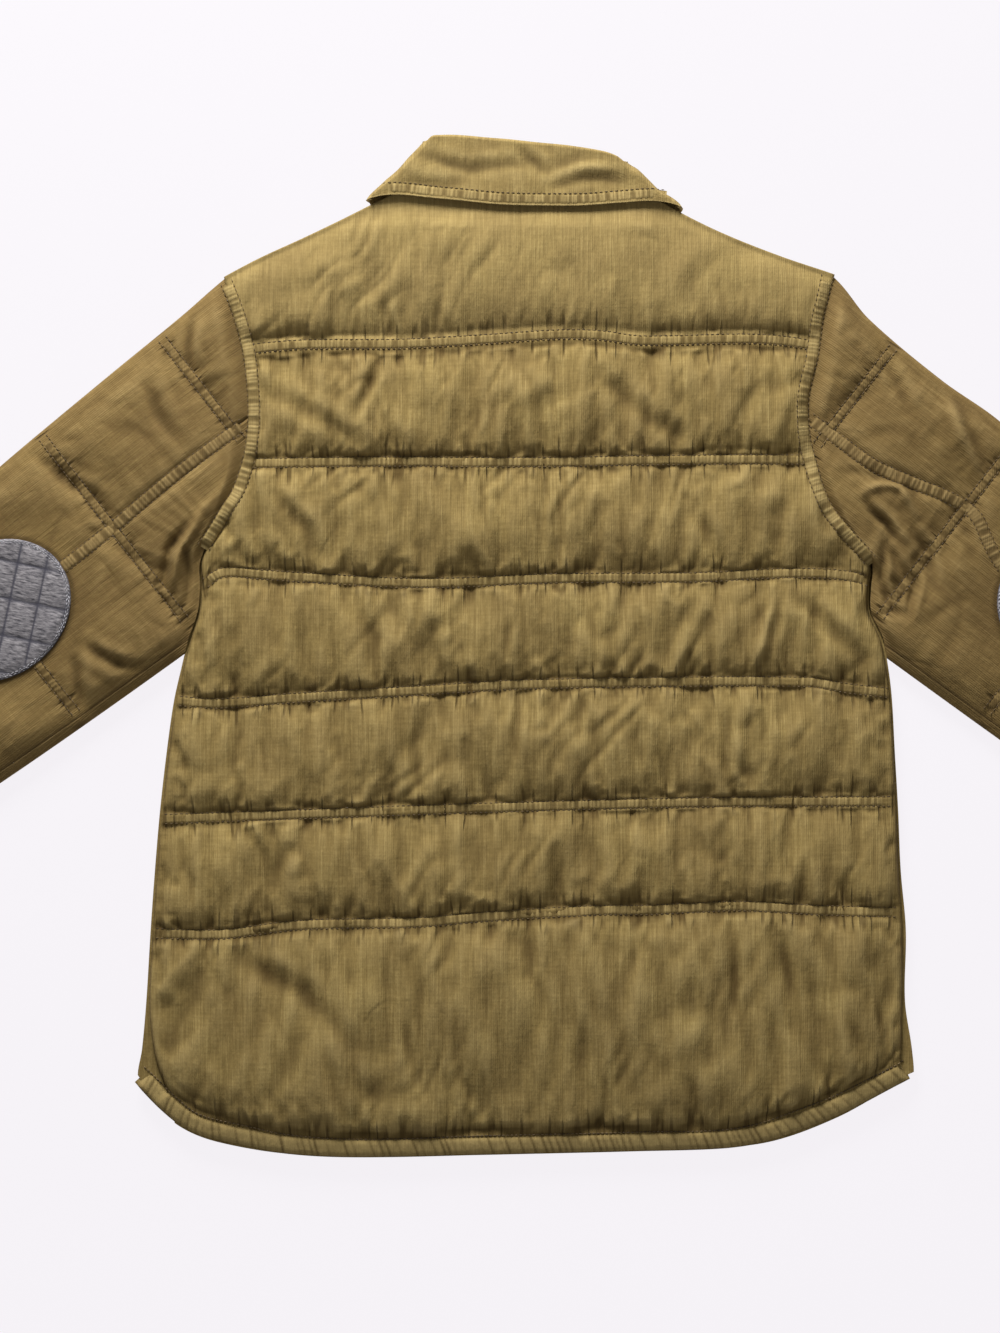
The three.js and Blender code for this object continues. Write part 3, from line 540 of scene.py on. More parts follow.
def refined(values, columns, wanted_columns, wanted_rows):
    """Values on a coarse grid read off for a finer one, along smooth curves through them."""
    values = values.reshape(-1, columns + 1, values.shape[-1])
    for axis, count in ((0, wanted_rows), (1, wanted_columns)):
        old = values.shape[axis]
        at = np.linspace(0, old - 1, count + 1)
        i = np.minimum(at.astype(int), old - 2)
        t = (at - i).reshape((-1, 1, 1) if axis == 0 else (1, -1, 1))
        a, b, c, d = (values.take(np.clip(i + k, 0, old - 1), axis) for k in (-1, 0, 1, 2))
        values = 0.5 * (2 * b + (c - a) * t + (2 * a - 5 * b + 4 * c - d) * t ** 2
                        + (3 * b - a - 3 * c + d) * t ** 3)
    return values.reshape(-1, values.shape[-1])


def close_underneath(sheet, height):
    """Brings the edge of a wadded sheet to a flat lining at a height in millimetres."""
    bm = bmesh.new()
    bm.from_mesh(sheet.data)
    rim = [edge for edge in bm.edges if edge.is_boundary]
    grown = bmesh.ops.extrude_edge_only(bm, edges=rim)["geom"]
    for vert in (part for part in grown if isinstance(part, bmesh.types.BMVert)):
        vert.co.z = height / 1000
    lower = [part for part in grown if isinstance(part, bmesh.types.BMEdge) and part.is_boundary]
    for edge in lower:
        edge.smooth = False
    bmesh.ops.contextual_create(bm, geom=lower)
    bmesh.ops.recalc_face_normals(bm, faces=bm.faces)
    bm.to_mesh(sheet.data)
    bm.free()


panel_lines = [lambda x: yoke_seam(x) - SEAM_HALF, *quilting, hem_stitching, hem_edge]


def from_sides(x, y):
    return np.minimum(x - back_left(y), back_right(y) - x)


def from_rows(x, y, lines):
    return np.min([np.abs(y - line(x)) for line in lines], axis=0)


def wadded_height(x, y, lines, loft):
    """Height of wadded cloth between rows of stitching, rolled down to the sides."""
    upper = np.full_like(x, 1e4)
    lower = np.full_like(x, -1e4)
    for line in lines:
        at = line(x)
        upper = np.where((at >= y) & (at < upper), at, upper)
        lower = np.where((at < y) & (at > lower), at, lower)
    t = np.clip((y - lower - BAND / 2) / np.maximum(upper - lower - BAND, 1e-6), 0, 1)
    fullness = np.where(lower < 60, 6.5, 2.8)
    puff = 1 - np.abs(2 * t ** 0.9 - 1) ** fullness
    roll = np.sqrt(1 - np.clip(1 - from_sides(x, y) / EDGE_ROLL, 0, 1) ** 2)
    return SEWN_DOWN - 1.4 * (1 - roll) + loft * puff * roll


back_creases = [
    (((-83, 497), (-79, 470)), 3.2, 1.6), (((-97, 526), (-86, 497)), 9, 1.2),
    (((-84, 465), (-100, 430)), 3.5, 2.0), (((-26, 437), (-31, 420)), 3.0, 1.4),
    (((-10, 311), (-13, 291)), 3.0, 1.4), (((144, 330), (133, 286)), 3.4, -2.0),
    (((152, 329), (196, 286)), 6.0, 2.2), (((-5, 269), (-7, 233)), 3.0, 1.4),
    (((118, 265), (115, 219)), 4.0, 1.4), (((-71, 79), (-69, 56)), 3.2, 1.6),
    (((121, 126), (119, 85)), 3.4, 1.5), (((147, 126), (155, 91)), 4.0, 1.8),
    (((-166, 452), (-120, 428), (-98, 414)), 6, 1.5), (((40, 456), (70, 428), (96, 414)), 6, 1.5),
    (((-150, 388), (-128, 364), (-120, 346)), 5, 1.4), (((88, 388), (104, 362), (110, 345)), 5, 1.4),
    (((-100, 322), (-90, 300), (-92, 280)), 5, 1.4), (((-60, 258), (-66, 238), (-62, 214)), 5, 1.3),
    (((-176, 118), (-130, 96), (-96, 60)), 7, 1.6), (((0, 120), (4, 80), (-4, 40)), 7, 1.5),
    (((60, 122), (52, 80), (58, 40)), 6, 1.3), (((148, 128), (168, 90), (172, 50)), 7, 1.7),
    (((-130, 186), (-146, 166), (-150, 146)), 5, 1.3), (((34, 190), (40, 168), (36, 152)), 5, 1.2),
]


def body_relief(x, y, lines):
    """Listed creases, gathers along the stitching, and the cloth's own unevenness."""
    depth = unevenness(x, y, 5, 26, 90, 0.35) + rumpled(x, y, 50, 2.2)
    depth = with_creases(depth, x, y, back_creases, 0.85, 1.4)
    for k, line in enumerate(lines):
        for way in (1, -1):
            shifted = (lambda given, by: lambda at: given(at) + by)(line, way * BAND / 2)
            depth = depth + gathers(x, y, shifted, 40 + 2 * k + way, (-215, 215), way)
    return depth * np.clip(from_sides(x, y) / 10, 0, 1)


def sewn_depth(x, y, lines):
    """How close a place is to stitching: 1 in the seam, 0 clear of it."""
    return np.exp(-((np.maximum(from_rows(x, y, lines) - BAND / 2, 0) / 2.2) ** 2))


def gathered_near(x, y, lines):
    """How strongly the cloth is gathered: 1 at the stitching, fading out in a few centimetres."""
    return np.exp(-np.maximum(from_rows(x, y, lines) - BAND / 2, 0) / 13)


def place_panel(across, up):
    x, y = across_body(stacked_lines(panel_lines, 1 - up), across)
    z = wadded_height(x, y, panel_lines, 4.4)
    share = np.clip((y - hem_edge(x)) / (hem_stitching(x) - hem_edge(x)), 0, 1)
    return (x, y, np.where(share < 1, LINING + LEAST_WADDING + 1.4 * share, z)), (x, y)


SIM_COLUMNS, SIM_ROWS = 140, 154
PANEL_COLUMNS, PANEL_ROWS = 290, 308
slack = cloth_grid("slack_back", SIM_COLUMNS, SIM_ROWS, place_panel)
x, y, z = in_mm(points_of(slack.data)).T
sewn = (from_rows(x, y, panel_lines[:-1]) < SEAM_HALF) | (from_sides(x, y) < 1.0)
sewn |= y < hem_stitching(x)
ripple = (1.3 * drifting(x / 8, y / 30, 3) + 0.8 * drifting(x / 19, y / 40, 4)) * ~sewn
set_points(slack.data, x, y, z + ripple)
moved = pucker(slack, sewn, 0.012, 0.3, 14)
moved[:, 1] *= 0.5
moved[:, 2] += ripple
settled = refined(moved, SIM_COLUMNS, PANEL_COLUMNS, PANEL_ROWS)
bpy.data.objects.remove(slack)


def place_back(across, up):
    (x, y, z), cloth = place_panel(across, up)
    still = 1 - sewn_depth(x, y, panel_lines[:-1]) ** 2
    still = still * (y > hem_stitching(x))
    z = z + settled[:, 2] - body_relief(x, y, panel_lines[:-1]) * still
    return (x + settled[:, 0], y + settled[:, 1], np.maximum(z, LINING + LEAST_WADDING)), cloth


back_panel = cloth_grid("quilted_back", PANEL_COLUMNS, PANEL_ROWS, place_back)
x, y, z = in_mm(points_of(back_panel.data)).T
in_seam = sewn_depth(x, y, panel_lines[:-1]).reshape(-1, PANEL_COLUMNS + 1)
paint(back_panel, "gathered", gathered_near(x, y, panel_lines[:-1]))
# Painted shade in the stitched seams, on top of the painted shade in the hollows.
paint_relief(back_panel, PANEL_COLUMNS, extra_shade=in_seam * 0.3)
close_underneath(back_panel, LINING)
back_panel.data.materials.append(body_cord)
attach(back_panel, "root")
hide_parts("back_panel")


# Back yoke: the same wadded cloth over the shoulders, felled down onto the back panel. Its
# top runs up under the collar, where it is pressed flat.
shoulder_line = flowing(
    (-178, 510), (-155, 522), (-131, 533), (-108, 544), (-84, 556), (-60, 567), (-44, 563),
    (0, 561), (44, 562), (60, 565), (84, 551), (112, 537), (147, 523), (180, 512))
YOKE_COLUMNS, YOKE_ROWS = 280, 76
COLLAR_REACHES, COLLAR_HALF = 553, 94


def place_yoke(across, up):
    x, y = across_body(
        lambda at: (yoke_seam(at) - 2.4) * (1 - up) + shoulder_line(at) * up, across)
    pressed = eased(np.clip(np.maximum(COLLAR_REACHES - y, np.abs(x) - COLLAR_HALF) / 14, 0, 1))
    wadded = wadded_height(x, y, [shoulder_line, lambda at: yoke_seam(at) + SEAM_HALF], 5.0)
    top_edge = np.clip((shoulder_line(x) - y) / 8, 0, 1)
    still = (1 - sewn_depth(x, y, [yoke_seam]) ** 2) * pressed * top_edge
    z = SEWN_DOWN + (wadded - SEWN_DOWN) * pressed - body_relief(x, y, [yoke_seam]) * still
    z = np.where(y < yoke_seam(x) + SEAM_HALF, SEWN_DOWN, z)
    return (x, y, np.maximum(z, LINING + LEAST_WADDING)), (x, y)


back_yoke = cloth_grid("wadded_yoke", YOKE_COLUMNS, YOKE_ROWS, place_yoke)
x, y, z = in_mm(points_of(back_yoke.data)).T
paint(back_yoke, "gathered", gathered_near(x, y, [yoke_seam]))
paint_relief(back_yoke, YOKE_COLUMNS, extra_ridge=0.16)
close_underneath(back_yoke, LINING)
back_yoke.data.materials.append(body_cord)
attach(back_yoke, "root")
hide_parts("back_yoke")


# Two fronts, wadded and quilted at the same heights as the back. They lie under it, and a
# narrow strip of each shows outside the side seams near the hem.
front_left = flowing(*zip(side_heights, (
    -222, -226.5, -224, -221.5, -219, -216.5, -213.5, -209.5, -205.5, -201.5, -197, -191.5, -190,
    -190, -182.5, -175.5, -166.5, -163.5, -165, -171.5, -177.5)))
front_right = flowing(*zip(side_heights, (
    221, 225, 224, 220, 220.5, 217.5, 216, 214, 212.5, 210.5, 207, 199.5, 199, 199.5, 187.5,
    177.5, 167.5, 163.5, 168, 173, 180)))
neck_edge = flowing((0, 488), (22, 494), (38, 505), (49, 522), (56, 544), (60, 563))
FRONT_TOP = 6
STAND_HALF = 14


def front_piece(name, side):
    """One front, from the button stand out to the side seam and armhole."""
    outline = front_left if side < 0 else front_right
    inner = side * (STAND_HALF + 0.3)

    def place(across, up):
        def line(x):
            out = np.abs(x)
            top = np.where(out < 60, neck_edge(out), shoulder_line(x) - 6)
            return (hem_edge(x) + 3) * (1 - up) + top * up

        x = inner * (1 - across) + side * 200 * across
        for _ in range(10):
            x = inner * (1 - across) + outline(line(x)) * across
        y = line(x)
        seam = np.max([np.exp(-(((y - row(x)) / 5) ** 2)) for row in quilting], axis=0)
        from_side = np.clip(np.abs(outline(y) - x) / 10, 0, 1)
        roll = 4.4 * (1 - np.sqrt(1 - (1 - from_side) ** 2))
        under_collar = np.clip(np.minimum(y - 452, 106 - np.abs(x)) / 8, 0, 1)
        z = np.maximum(roll, 3.3 * under_collar)
        return (x, y, np.minimum(z + 1.6 * seam, FRONT_TOP - 0.6)), (x, y)

    piece = cloth_grid(name, 70, 150, place)
    # Painted shade: the whole front is darkened a little, where it shows under the edge of the back.
    paint(piece, "painted_shade", np.full(len(piece.data.vertices), 0.15))
    close_underneath(piece, FRONT_TOP)
    return piece


fronts = []
for node, side in (("left_front", -1), ("right_front", 1)):
    piece = front_piece("wadded_" + node, side)
    fronts.append(piece)
    piece.data.materials.append(body_cord)
    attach(piece, "root")
    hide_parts(node)


# Button stand: a straight double strip of the same cloth down the middle of the fronts. The
# cloth is pressed in behind each button.
button_heights = [468 - 78 * k for k in range(6)]
STAND_TOP = 487.7
STAND_STITCHING = 10.5
BUTTON_PRESS = 9.5


def place_stand(across, up):
    x = (2 * across - 1) * STAND_HALF
    y = (hem_edge(0 * x) + 3) * (1 - up) + STAND_TOP * up
    near = np.min([np.hypot(x, y - at) for at in button_heights], axis=0)
    pressed = np.clip((BUTTON_PRESS - near) / 2, 0, 1)
    edge = np.clip((STAND_HALF - np.abs(x)) / 1.5, 0, 1)
    z = np.maximum(2.0 * pressed, 0.8 * (1 - np.sqrt(1 - (1 - edge) ** 2)))
    stitched = np.exp(-(((np.abs(x) - STAND_STITCHING) / 0.7) ** 2)) * 0.4
    return (x, y, np.maximum(z, stitched)), (x, y)


button_stand = cloth_grid("button_stand_strip", 32, 240, place_stand)
paint_relief(button_stand, 32, 4)
close_underneath(button_stand, 3)
button_stand.data.materials.append(body_cord)
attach(button_stand, "root")
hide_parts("button_stand")


# Collar: a leaf of doubled cloth that folds over its stand at the back neck and turns round
# both sides of the neck to points at the front. The edge that shows is topstitched.
front_neck = [
    (60, 563, 50, 588, 90, 552), (56, 544, 47, 566, 84, 533), (49, 522, 39, 545, 75, 513),
    (38, 505, 28, 528, 65, 497), (22, 494, 15, 517, 56, 484), (0.15, 488, 1, 512, 46, 472),
]


def collar_loop(name, ends, radius, middle, places, steps, roll, columns, rows):
    """A loop of cloth round the neck, flattened, open at the centre front. places gives its
    plan at the back and at the front for a share from the fold, 0, to the outer edge, 1."""
    back_place, front_place = places
    turning = []
    for side, (top, end) in zip((-1, 1), ends):
        along = np.array(end, float) - top
        along /= np.hypot(*along)
        outward = np.array([-side * along[1], side * along[0]])
        turning.append((np.array(top) - outward * radius, np.array(end) - outward * radius, outward))

    def axis(k, t):
        return turning[k][0] * (1 - t) + turning[k][1] * t

    stations = [(lambda t, row=row: front_place(-1, row, t), (0, 0), -90) for row in front_neck[:0:-1]]
    stations += [(lambda t: axis(0, t), turning[0][2], angle) for angle in (-60, -30, 0, 30, 60)]
    for share in (0, 0.12, 0.3, 0.5, 0.7, 0.88, 1):
        plan = lambda t, share=share: back_place(axis(0, t), axis(1, t), share, t)
        stations.append((plan, (0, 0), 90))
    stations += [(lambda t: axis(1, t), turning[1][2], angle) for angle in (60, 30, 0, -30, -60)]
    stations += [(lambda t, row=row: front_place(1, row, t), (0, 0), -90) for row in front_neck[1:]]

    def at(station, t):
        plan, outward, angle = station
        flat = np.array(plan(t)) + np.array(outward) * radius * math.cos(math.radians(angle))
        return np.array([*flat, middle + radius * math.sin(math.radians(angle))])

    table = []
    for station in stations:
        _, outward, angle = station
        inward = -np.array([
            *(np.array(outward) * math.cos(math.radians(angle))), math.sin(math.radians(angle))])
        column = []
        back = angle == 90
        rounded = roll if back else 0.45 * roll
        start = steps[0] + (0 if back else 0.05 if roll else 0)
        fold = at(station, start)
        beyond = fold - at(station, start + 0.1)
        beyond /= np.linalg.norm(beyond)
        for turn in (160, 130, 100, 70, 40, 15) if roll else ():
            turned = math.radians(turn)
            column.append(
                fold + beyond * rounded * math.sin(turned)
                + inward * rounded * (1 - math.cos(turned)))
        column += [at(station, start + (t - steps[0]) * (1 - start) / (1 - steps[0])) for t in steps]
        table.append(column)
    table = np.array(table).transpose(1, 0, 2)
    spots = refined(table.reshape(-1, 3), len(stations) - 1, columns, rows)

    def place(across, up):
        return spots.T, spots.T[:2]

    return cloth_grid(name, columns, rows, place)


def leaf_back(left, right, share, t):
    plan = left * (1 - share) + right * share
    return plan[0], plan[1] - 4 * 4 * share * (1 - share) * t


def leaf_front(side, row, t):
    return side * (row[2] * (1 - t) + row[4] * t), row[3] * (1 - t) + row[5] * t


def stand_back(left, right, share, t):
    x, upper = left * (1 - share) + right * share
    lower = max(float(shoulder_line(np.array([x]))[0]) + 1, upper - 30)
    ends = 4 * share * (1 - share)
    return x, upper + (lower - upper) * t * ends


def stand_front(side, row, t):
    x = max((row[2] - 1) * (1 - t) + row[0] * t, 0.15)
    return side * x, row[3] * (1 - t) + (row[1] + 0.3) * t


def thickened(sheet, millimetres):
    """Turns the faces of a folded or tubular sheet away from its middle and thickens it inward."""
    bm = bmesh.new()
    bm.from_mesh(sheet.data)
    middle = Vector(points_of(sheet.data).mean(axis=0))
    facing = sum((face.calc_center_median() - middle).z * face.normal.z * face.calc_area()
                 for face in bm.faces)
    if facing < 0:
        bmesh.ops.reverse_faces(bm, faces=bm.faces)
        bm.to_mesh(sheet.data)
    bm.free()
    shell = sheet.modifiers.new("Thickness", "SOLIDIFY")
    shell.thickness = millimetres / 1000
    shell.offset = -1


def evened(values, reach):
    """A row of values with its small detail rubbed out."""
    weights = np.hanning(2 * reach + 3)[1:-1]
    wide = np.pad(values, reach, mode="edge")
    return np.convolve(wide, weights / weights.sum(), mode="valid")


LEAF_COLUMNS, LEAF_ROWS = 340, 44
LEAF_BACK = slice(100, 241)
COLLAR_BASE = 546
collar_leaf = collar_loop(
    "collar_leaf_folded", (((-55, 596), (-94, 557)), ((53, 586), (91, 553.5))), 6.2, 6.2,
    (leaf_back, leaf_front), (0.1, 0.14, 0.22, 0.34, 0.46, 0.6, 0.72, 0.84, 0.94, 1.0), 2.2,
    LEAF_COLUMNS, LEAF_ROWS)
laid = flowing(
    (-95.7, 554.5), (-88.7, 561.4), (-81.8, 567.8), (-74.8, 574), (-67.9, 582), (-60.9, 589),
    (-56, 592.4), (-50, 593.2), (-40, 593.2), (-26.1, 592), (-12.2, 590.8), (1.7, 589.3),
    (15.7, 588), (29.6, 586.3), (43.5, 584), (50.5, 581.7), (57.4, 578.1), (64.4, 573.8),
    (71.3, 567.2), (78.3, 559.9), (85.3, 554.1), (92.2, 548.9))
fallen = flowing(
    (-94, 555), (-85.3, 557.4), (-73.7, 558), (-56.3, 556.2), (-38.9, 554.5), (-15.7, 552.2),
    (7.5, 551.6), (30.7, 551.6), (53.9, 553.3), (71.3, 554.5), (82.9, 553.3), (92, 550.2))
x, y, z = in_mm(points_of(collar_leaf.data)).T
edge_x, edge_y = (values[-LEAF_COLUMNS - 1:][LEAF_BACK] for values in (x, y))
order = np.argsort(edge_x)
straight_edge = np.interp(x, edge_x[order], edge_y[order])
stops = np.linspace(-94, 91, 150)
tops = [y[np.abs(x - stop) < 0.9].max() for stop in stops]
straight_top = np.interp(x, stops, evened(np.array(tops), 2))
squeeze = np.clip((laid(x) - COLLAR_BASE) / (straight_top - COLLAR_BASE), 0.5, 1.1)
beneath = np.where(y > COLLAR_BASE, COLLAR_BASE + (y - COLLAR_BASE) * squeeze, y)
stretch = np.clip((laid(x) - fallen(x)) / np.maximum(straight_top - straight_edge, 3), 0.4, 1.1)
upper_layer = np.clip((z - 3) / 5, 0, 1)
y = beneath + (fallen(x) + (y - straight_edge) * stretch - beneath) * upper_layer
over = np.clip((z - 9) / 2, 0, 1) * np.clip((y - fallen(x)) / 8, 0.1, 1)
dents = unevenness(x, y, 31, 14, 44, 0.5) + rumpled(y, x, 33, 0.9)
dents = with_creases(dents, x, y, (
    (((-64, 582), (-34, 573), (-13, 575.5), (6, 575.5)), 3.4, 1.5),
    (((10, 566), (30, 573.5), (50, 574.5)), 3.0, -1.3), (((12, 562), (34, 568), (58, 567)), 3.2, 1.3),
    (((-8, 585), (4, 578), (12, 570)), 3.0, 1.2), (((-70, 566), (-50, 563), (-30, 567)), 3.2, 0.9),
))
set_points(collar_leaf.data, x, y, z - dents * over)
worn_edge = np.zeros((LEAF_ROWS + 1, LEAF_COLUMNS + 1))
worn_edge[-2:] = 0.8
paint_relief(collar_leaf, LEAF_COLUMNS, 8, 0.9, extra_ridge=worn_edge + 0.12)
collar_stand = collar_loop(
    "collar_stand_inside", (((-52, 588), (-60, 570)), ((50, 579), (59, 568))), 2.8, 6.1,
    (stand_back, stand_front), (0, 0.5, 1.0), 0, 200, 16)
paint_relief(collar_stand, 200, 4)
for piece, node, cut in (
    (collar_leaf, "collar_leaf", (0.44, 0.046, 0.0165)),
    (collar_stand, "collar_stand", (0.34, 0.022, 0.0068)),
):
    softened = piece.modifiers.new("Softened", "SMOOTH")
    softened.iterations = 6
    thickened(piece, 1.6)
    piece.data.materials.append(body_cord)
    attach(piece, "root")
    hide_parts(node)


# Sleeves: each a flattened tube of wadded needlecord in two pieces. The back arm seam runs
# down the upper face, and the underarm seam along the lower edge.
sleeve_cord = needlecord(
    "sleeve_needlecord", (0.055, 0.032, 0.010), (0.178, 0.115, 0.041), (0.35, 0.25, 0.105), 0.55)
DROOP = math.radians(38)
SLEEVE_HEIGHT = 11.4
SLEEVE_LOFT = 4.4
ARMHOLE_HEIGHT = 9.4
CUFF_START = 412
FAN_END, FAN_SHARE = 165, 0.38
SEAM_ACROSS = 75
ROUND_ARM = 320
PATCH_LONG, PATCH_WIDE, PATCH_ACROSS = 46, 38.5, 72
PATCH_SEAT = 13
sleeve_quilting = [-30, 54, 144, 227, 310, 393, 412]
left_arm = {
    "side": -1, "shoulder": (-173.4, 513.3), "patch_at": 226.7, "free_from": 103,
    "seam": flowing((-10, 75), (60, 74.5), (160, 75.5), (450, 75)),
    "upper": flowing(
        (-10, 0.5), (12, 1.2), (37, 2.6), (97, 4), (173, 6.5), (286, 13), (360, 21), (450, 32)),
    "lower": flowing(
        (-10, 160), (37, 160), (97, 160), (173, 158), (286, 152), (360, 145), (450, 134)),
}
right_arm = {
    "side": 1, "shoulder": (178, 513.3), "patch_at": 231, "free_from": 115,
    "seam": flowing(
        (-10, 75), (50, 75), (67, 75.3), (87, 75), (111, 69), (133, 62), (150, 60), (165, 67),
        (181, 74), (200, 75), (450, 75)),
    "upper": flowing(
        (-10, 0.5), (8, 2.2), (33, 8), (88, 10), (128, 8), (286, 14), (360, 21), (450, 32)),
    "lower": flowing(
        (-10, 160), (33, 160), (88, 160), (128, 158.5), (286, 152), (360, 145), (450, 134)),
}
arms = (("left", left_arm), ("right", right_arm))


def on_arm(arm, s, n):
    """Where a place down and across the arm lies on the jacket."""
    x = arm["shoulder"][0] + arm["side"] * (s * math.cos(DROOP) - n * math.sin(DROOP))
    return x, arm["shoulder"][1] - s * math.sin(DROOP) - n * math.cos(DROOP)


def off_arm(arm, x, y):
    """How far down and across the arm a place on the jacket is."""
    out = (x - arm["shoulder"][0]) * arm["side"]
    down = arm["shoulder"][1] - y
    return (out * math.cos(DROOP) + down * math.sin(DROOP),
            down * math.cos(DROOP) - out * math.sin(DROOP))


def arm_start(arm, n):
    """How far down the arm the armhole or the side of the body is, across the arm at n."""
    outline = front_left if arm["side"] < 0 else front_right
    ramp = np.clip((n - arm["free_from"]) / 14, 0, 1)
    gap = 2.5 * ramp * ramp * (3 - 2 * ramp) - 2.6
    s = n
    for _ in range(16):
        y = on_arm(arm, s, n)[1]
        reach = (outline(y) - arm["shoulder"][0]) * arm["side"]
        s = (reach + gap + n * math.sin(DROOP)) / math.cos(DROOP)
    return s


sleeve_creases = {
    -1: [
        (((-194, 495), (-197, 470), (-196, 456)), 4, 2.2),
        (((-191, 374), (-208, 352), (-212, 328), (-207, 314)), 4, 2.8),
        (((-250, 352), (-263, 317), (-264, 293), (-259, 260)), 5, 2.6),
        (((-290, 412), (-268, 392), (-246, 380)), 5, 1.8),
        (((-262, 300), (-240, 286), (-222, 282)), 5, 2.0),
        (((-300, 330), (-286, 300), (-284, 270)), 6, 1.6),
        (((-222, 452), (-214, 430), (-202, 414)), 6, 1.6),
        (((-330, 310), (-318, 290), (-296, 278)), 5, 1.5),
        (((-176, 388), (-190, 373), (-200, 355), (-204, 337), (-200, 319)), 4.5, -2.0),
        (((-198, 352), (-196, 338), (-197, 322)), 3, 2.4),
    ],
    1: [
        (((241, 451), (250, 422), (263, 396)), 4, -2.2),
        (((196, 387), (205, 390), (216, 389), (225, 372)), 3.5, -2.4),
        (((196, 380), (200, 374), (208, 367), (218, 352)), 3.5, 2.8),
        (((208, 360), (214, 345), (222, 334)), 4, 2.0),
        (((222, 366), (232, 350), (236, 330)), 4, 1.8),
        (((240, 390), (256, 360), (262, 330)), 6, 1.8),
        (((204, 470), (214, 450), (222, 430)), 5, 1.6),
        (((262, 310), (276, 296), (296, 286)), 5, 1.5),
        (((207, 355), (205, 334), (210, 318), (221, 314)), 3.4, 2.4),
        (((227, 336), (223, 325), (221, 314)), 3.2, 1.8),
        (((184, 398), (200, 396), (214, 384)), 4, 1.5),
    ],
}


def ring(arm, s, turn):
    """A place on the tube: turns 0 to 1 cross the upper face, 1 to 2 round the upper edge,
    2 to 3 come back along the under face and 3 to 4 round the lower edge."""
    radius = SLEEVE_HEIGHT / 2
    upper = arm["upper"](s) + radius
    lower = arm["lower"](s) - radius
    leg = np.floor(turn).astype(int) % 4
    t = turn - np.floor(turn)
    way = np.where(leg == 1, -1, 1)
    centre = np.where(leg == 1, upper, lower)
    face = np.where(leg == 0, lower + (upper - lower) * t, upper + (lower - upper) * t)
    n = np.where(leg % 2 == 0, face, centre + way * radius * np.sin(math.pi * t))
    z = np.where(leg == 0, 2 * radius, 0.0)
    z = np.where(leg % 2 == 1, radius - way * radius * np.cos(math.pi * t), z)
    return n, z, leg, np.minimum(n - upper, lower - n)


def sleeve_top(arm, s, n, inset):
    """Height of the wadding, the creases and the seat of the elbow patch on the upper face."""
    rows = np.array(sleeve_quilting, float)
    k = np.clip(np.searchsorted(rows, s) - 1, 0, len(rows) - 2)
    share = np.clip((s - rows[k]) / (rows[k + 1] - rows[k]), 0, 1)
    puff = 1 - np.abs(2 * share - 1) ** 3
    x, y = on_arm(arm, s, n)
    depth = unevenness(x, y, 21 + arm["side"], 22, 70, 0.35) + rumpled(s, n, 70 + arm["side"], 1.7)
    depth = with_creases(depth, x, y, sleeve_creases[arm["side"]], 0.75, 1.6)
    for j, row in enumerate(sleeve_quilting[1:6]):
        for way in (1, -1):
            line = lambda at, row=row, way=way: row + way * 2.4 + 0 * at
            depth = depth + gathers(n, s, line, 90 + 2 * j + way + 20 * arm["side"], (8, 158), way, 1.1)
    lift = (SLEEVE_LOFT * puff - depth * 0.9) * np.clip((inset + 6) / 14, 0, 1)
    lift = lift * (1 - 0.8 * np.exp(-(((n - arm["seam"](s)) / 4.6) ** 2)))
    from_patch = eased(np.clip((around_patch(arm, s, n) - 1.1) / 0.6, 0, 1))
    height = PATCH_SEAT + (SLEEVE_HEIGHT + lift - PATCH_SEAT) * from_patch
    rise = eased(np.clip((s - arm_start(arm, n)) / 14, 0, 1))
    full = ARMHOLE_HEIGHT + (height - ARMHOLE_HEIGHT) * rise
    middle = SLEEVE_HEIGHT / 2
    bulge = np.sqrt(1 - (1 - np.clip((inset + middle) / 26, 0, 1)) ** 2)
    return middle + (full - middle) * bulge


def around_patch(arm, s, n):
    """How far a place is from the middle of the elbow patch: 1 at the edge of its oval."""
    return np.hypot((s - arm["patch_at"]) / PATCH_LONG, (n - PATCH_ACROSS) / PATCH_WIDE)


def sleeve_part(name, arm, stops, columns, rows):
    """One cut piece of a sleeve, from the armhole to the cuff, between two turns."""
    def place(across, down):
        turn = np.interp(across, np.linspace(0, 1, len(stops)), stops)
        fan = np.clip(down / FAN_SHARE, 0, 1)
        straight = FAN_END + (down - FAN_SHARE) / (1 - FAN_SHARE) * (CUFF_START - FAN_END)
        s = np.full_like(turn, FAN_END)
        for _ in range(7):
            n, z, leg, inset = ring(arm, s, turn)
            s = np.where(down < FAN_SHARE, arm_start(arm, n) * (1 - fan) + FAN_END * fan, straight)
        bent = (arm["seam"](s) - SEAM_ACROSS) * np.exp(-(((n - SEAM_ACROSS) / 40) ** 2))
        n = n + bent * (leg == 0)
        z = np.where(z > SLEEVE_HEIGHT / 2, sleeve_top(arm, s, n, inset), z)
        x, y = on_arm(arm, s, n)
        above = (leg == 0) | (leg == 1) & (turn < 1.5)
        round_cloth = np.where(above | (turn < 0), n, np.where(turn > 3.5, n - ROUND_ARM, -n))
        return (x, y, z), (round_cloth, s)

    return cloth_grid(name, columns, rows, place)


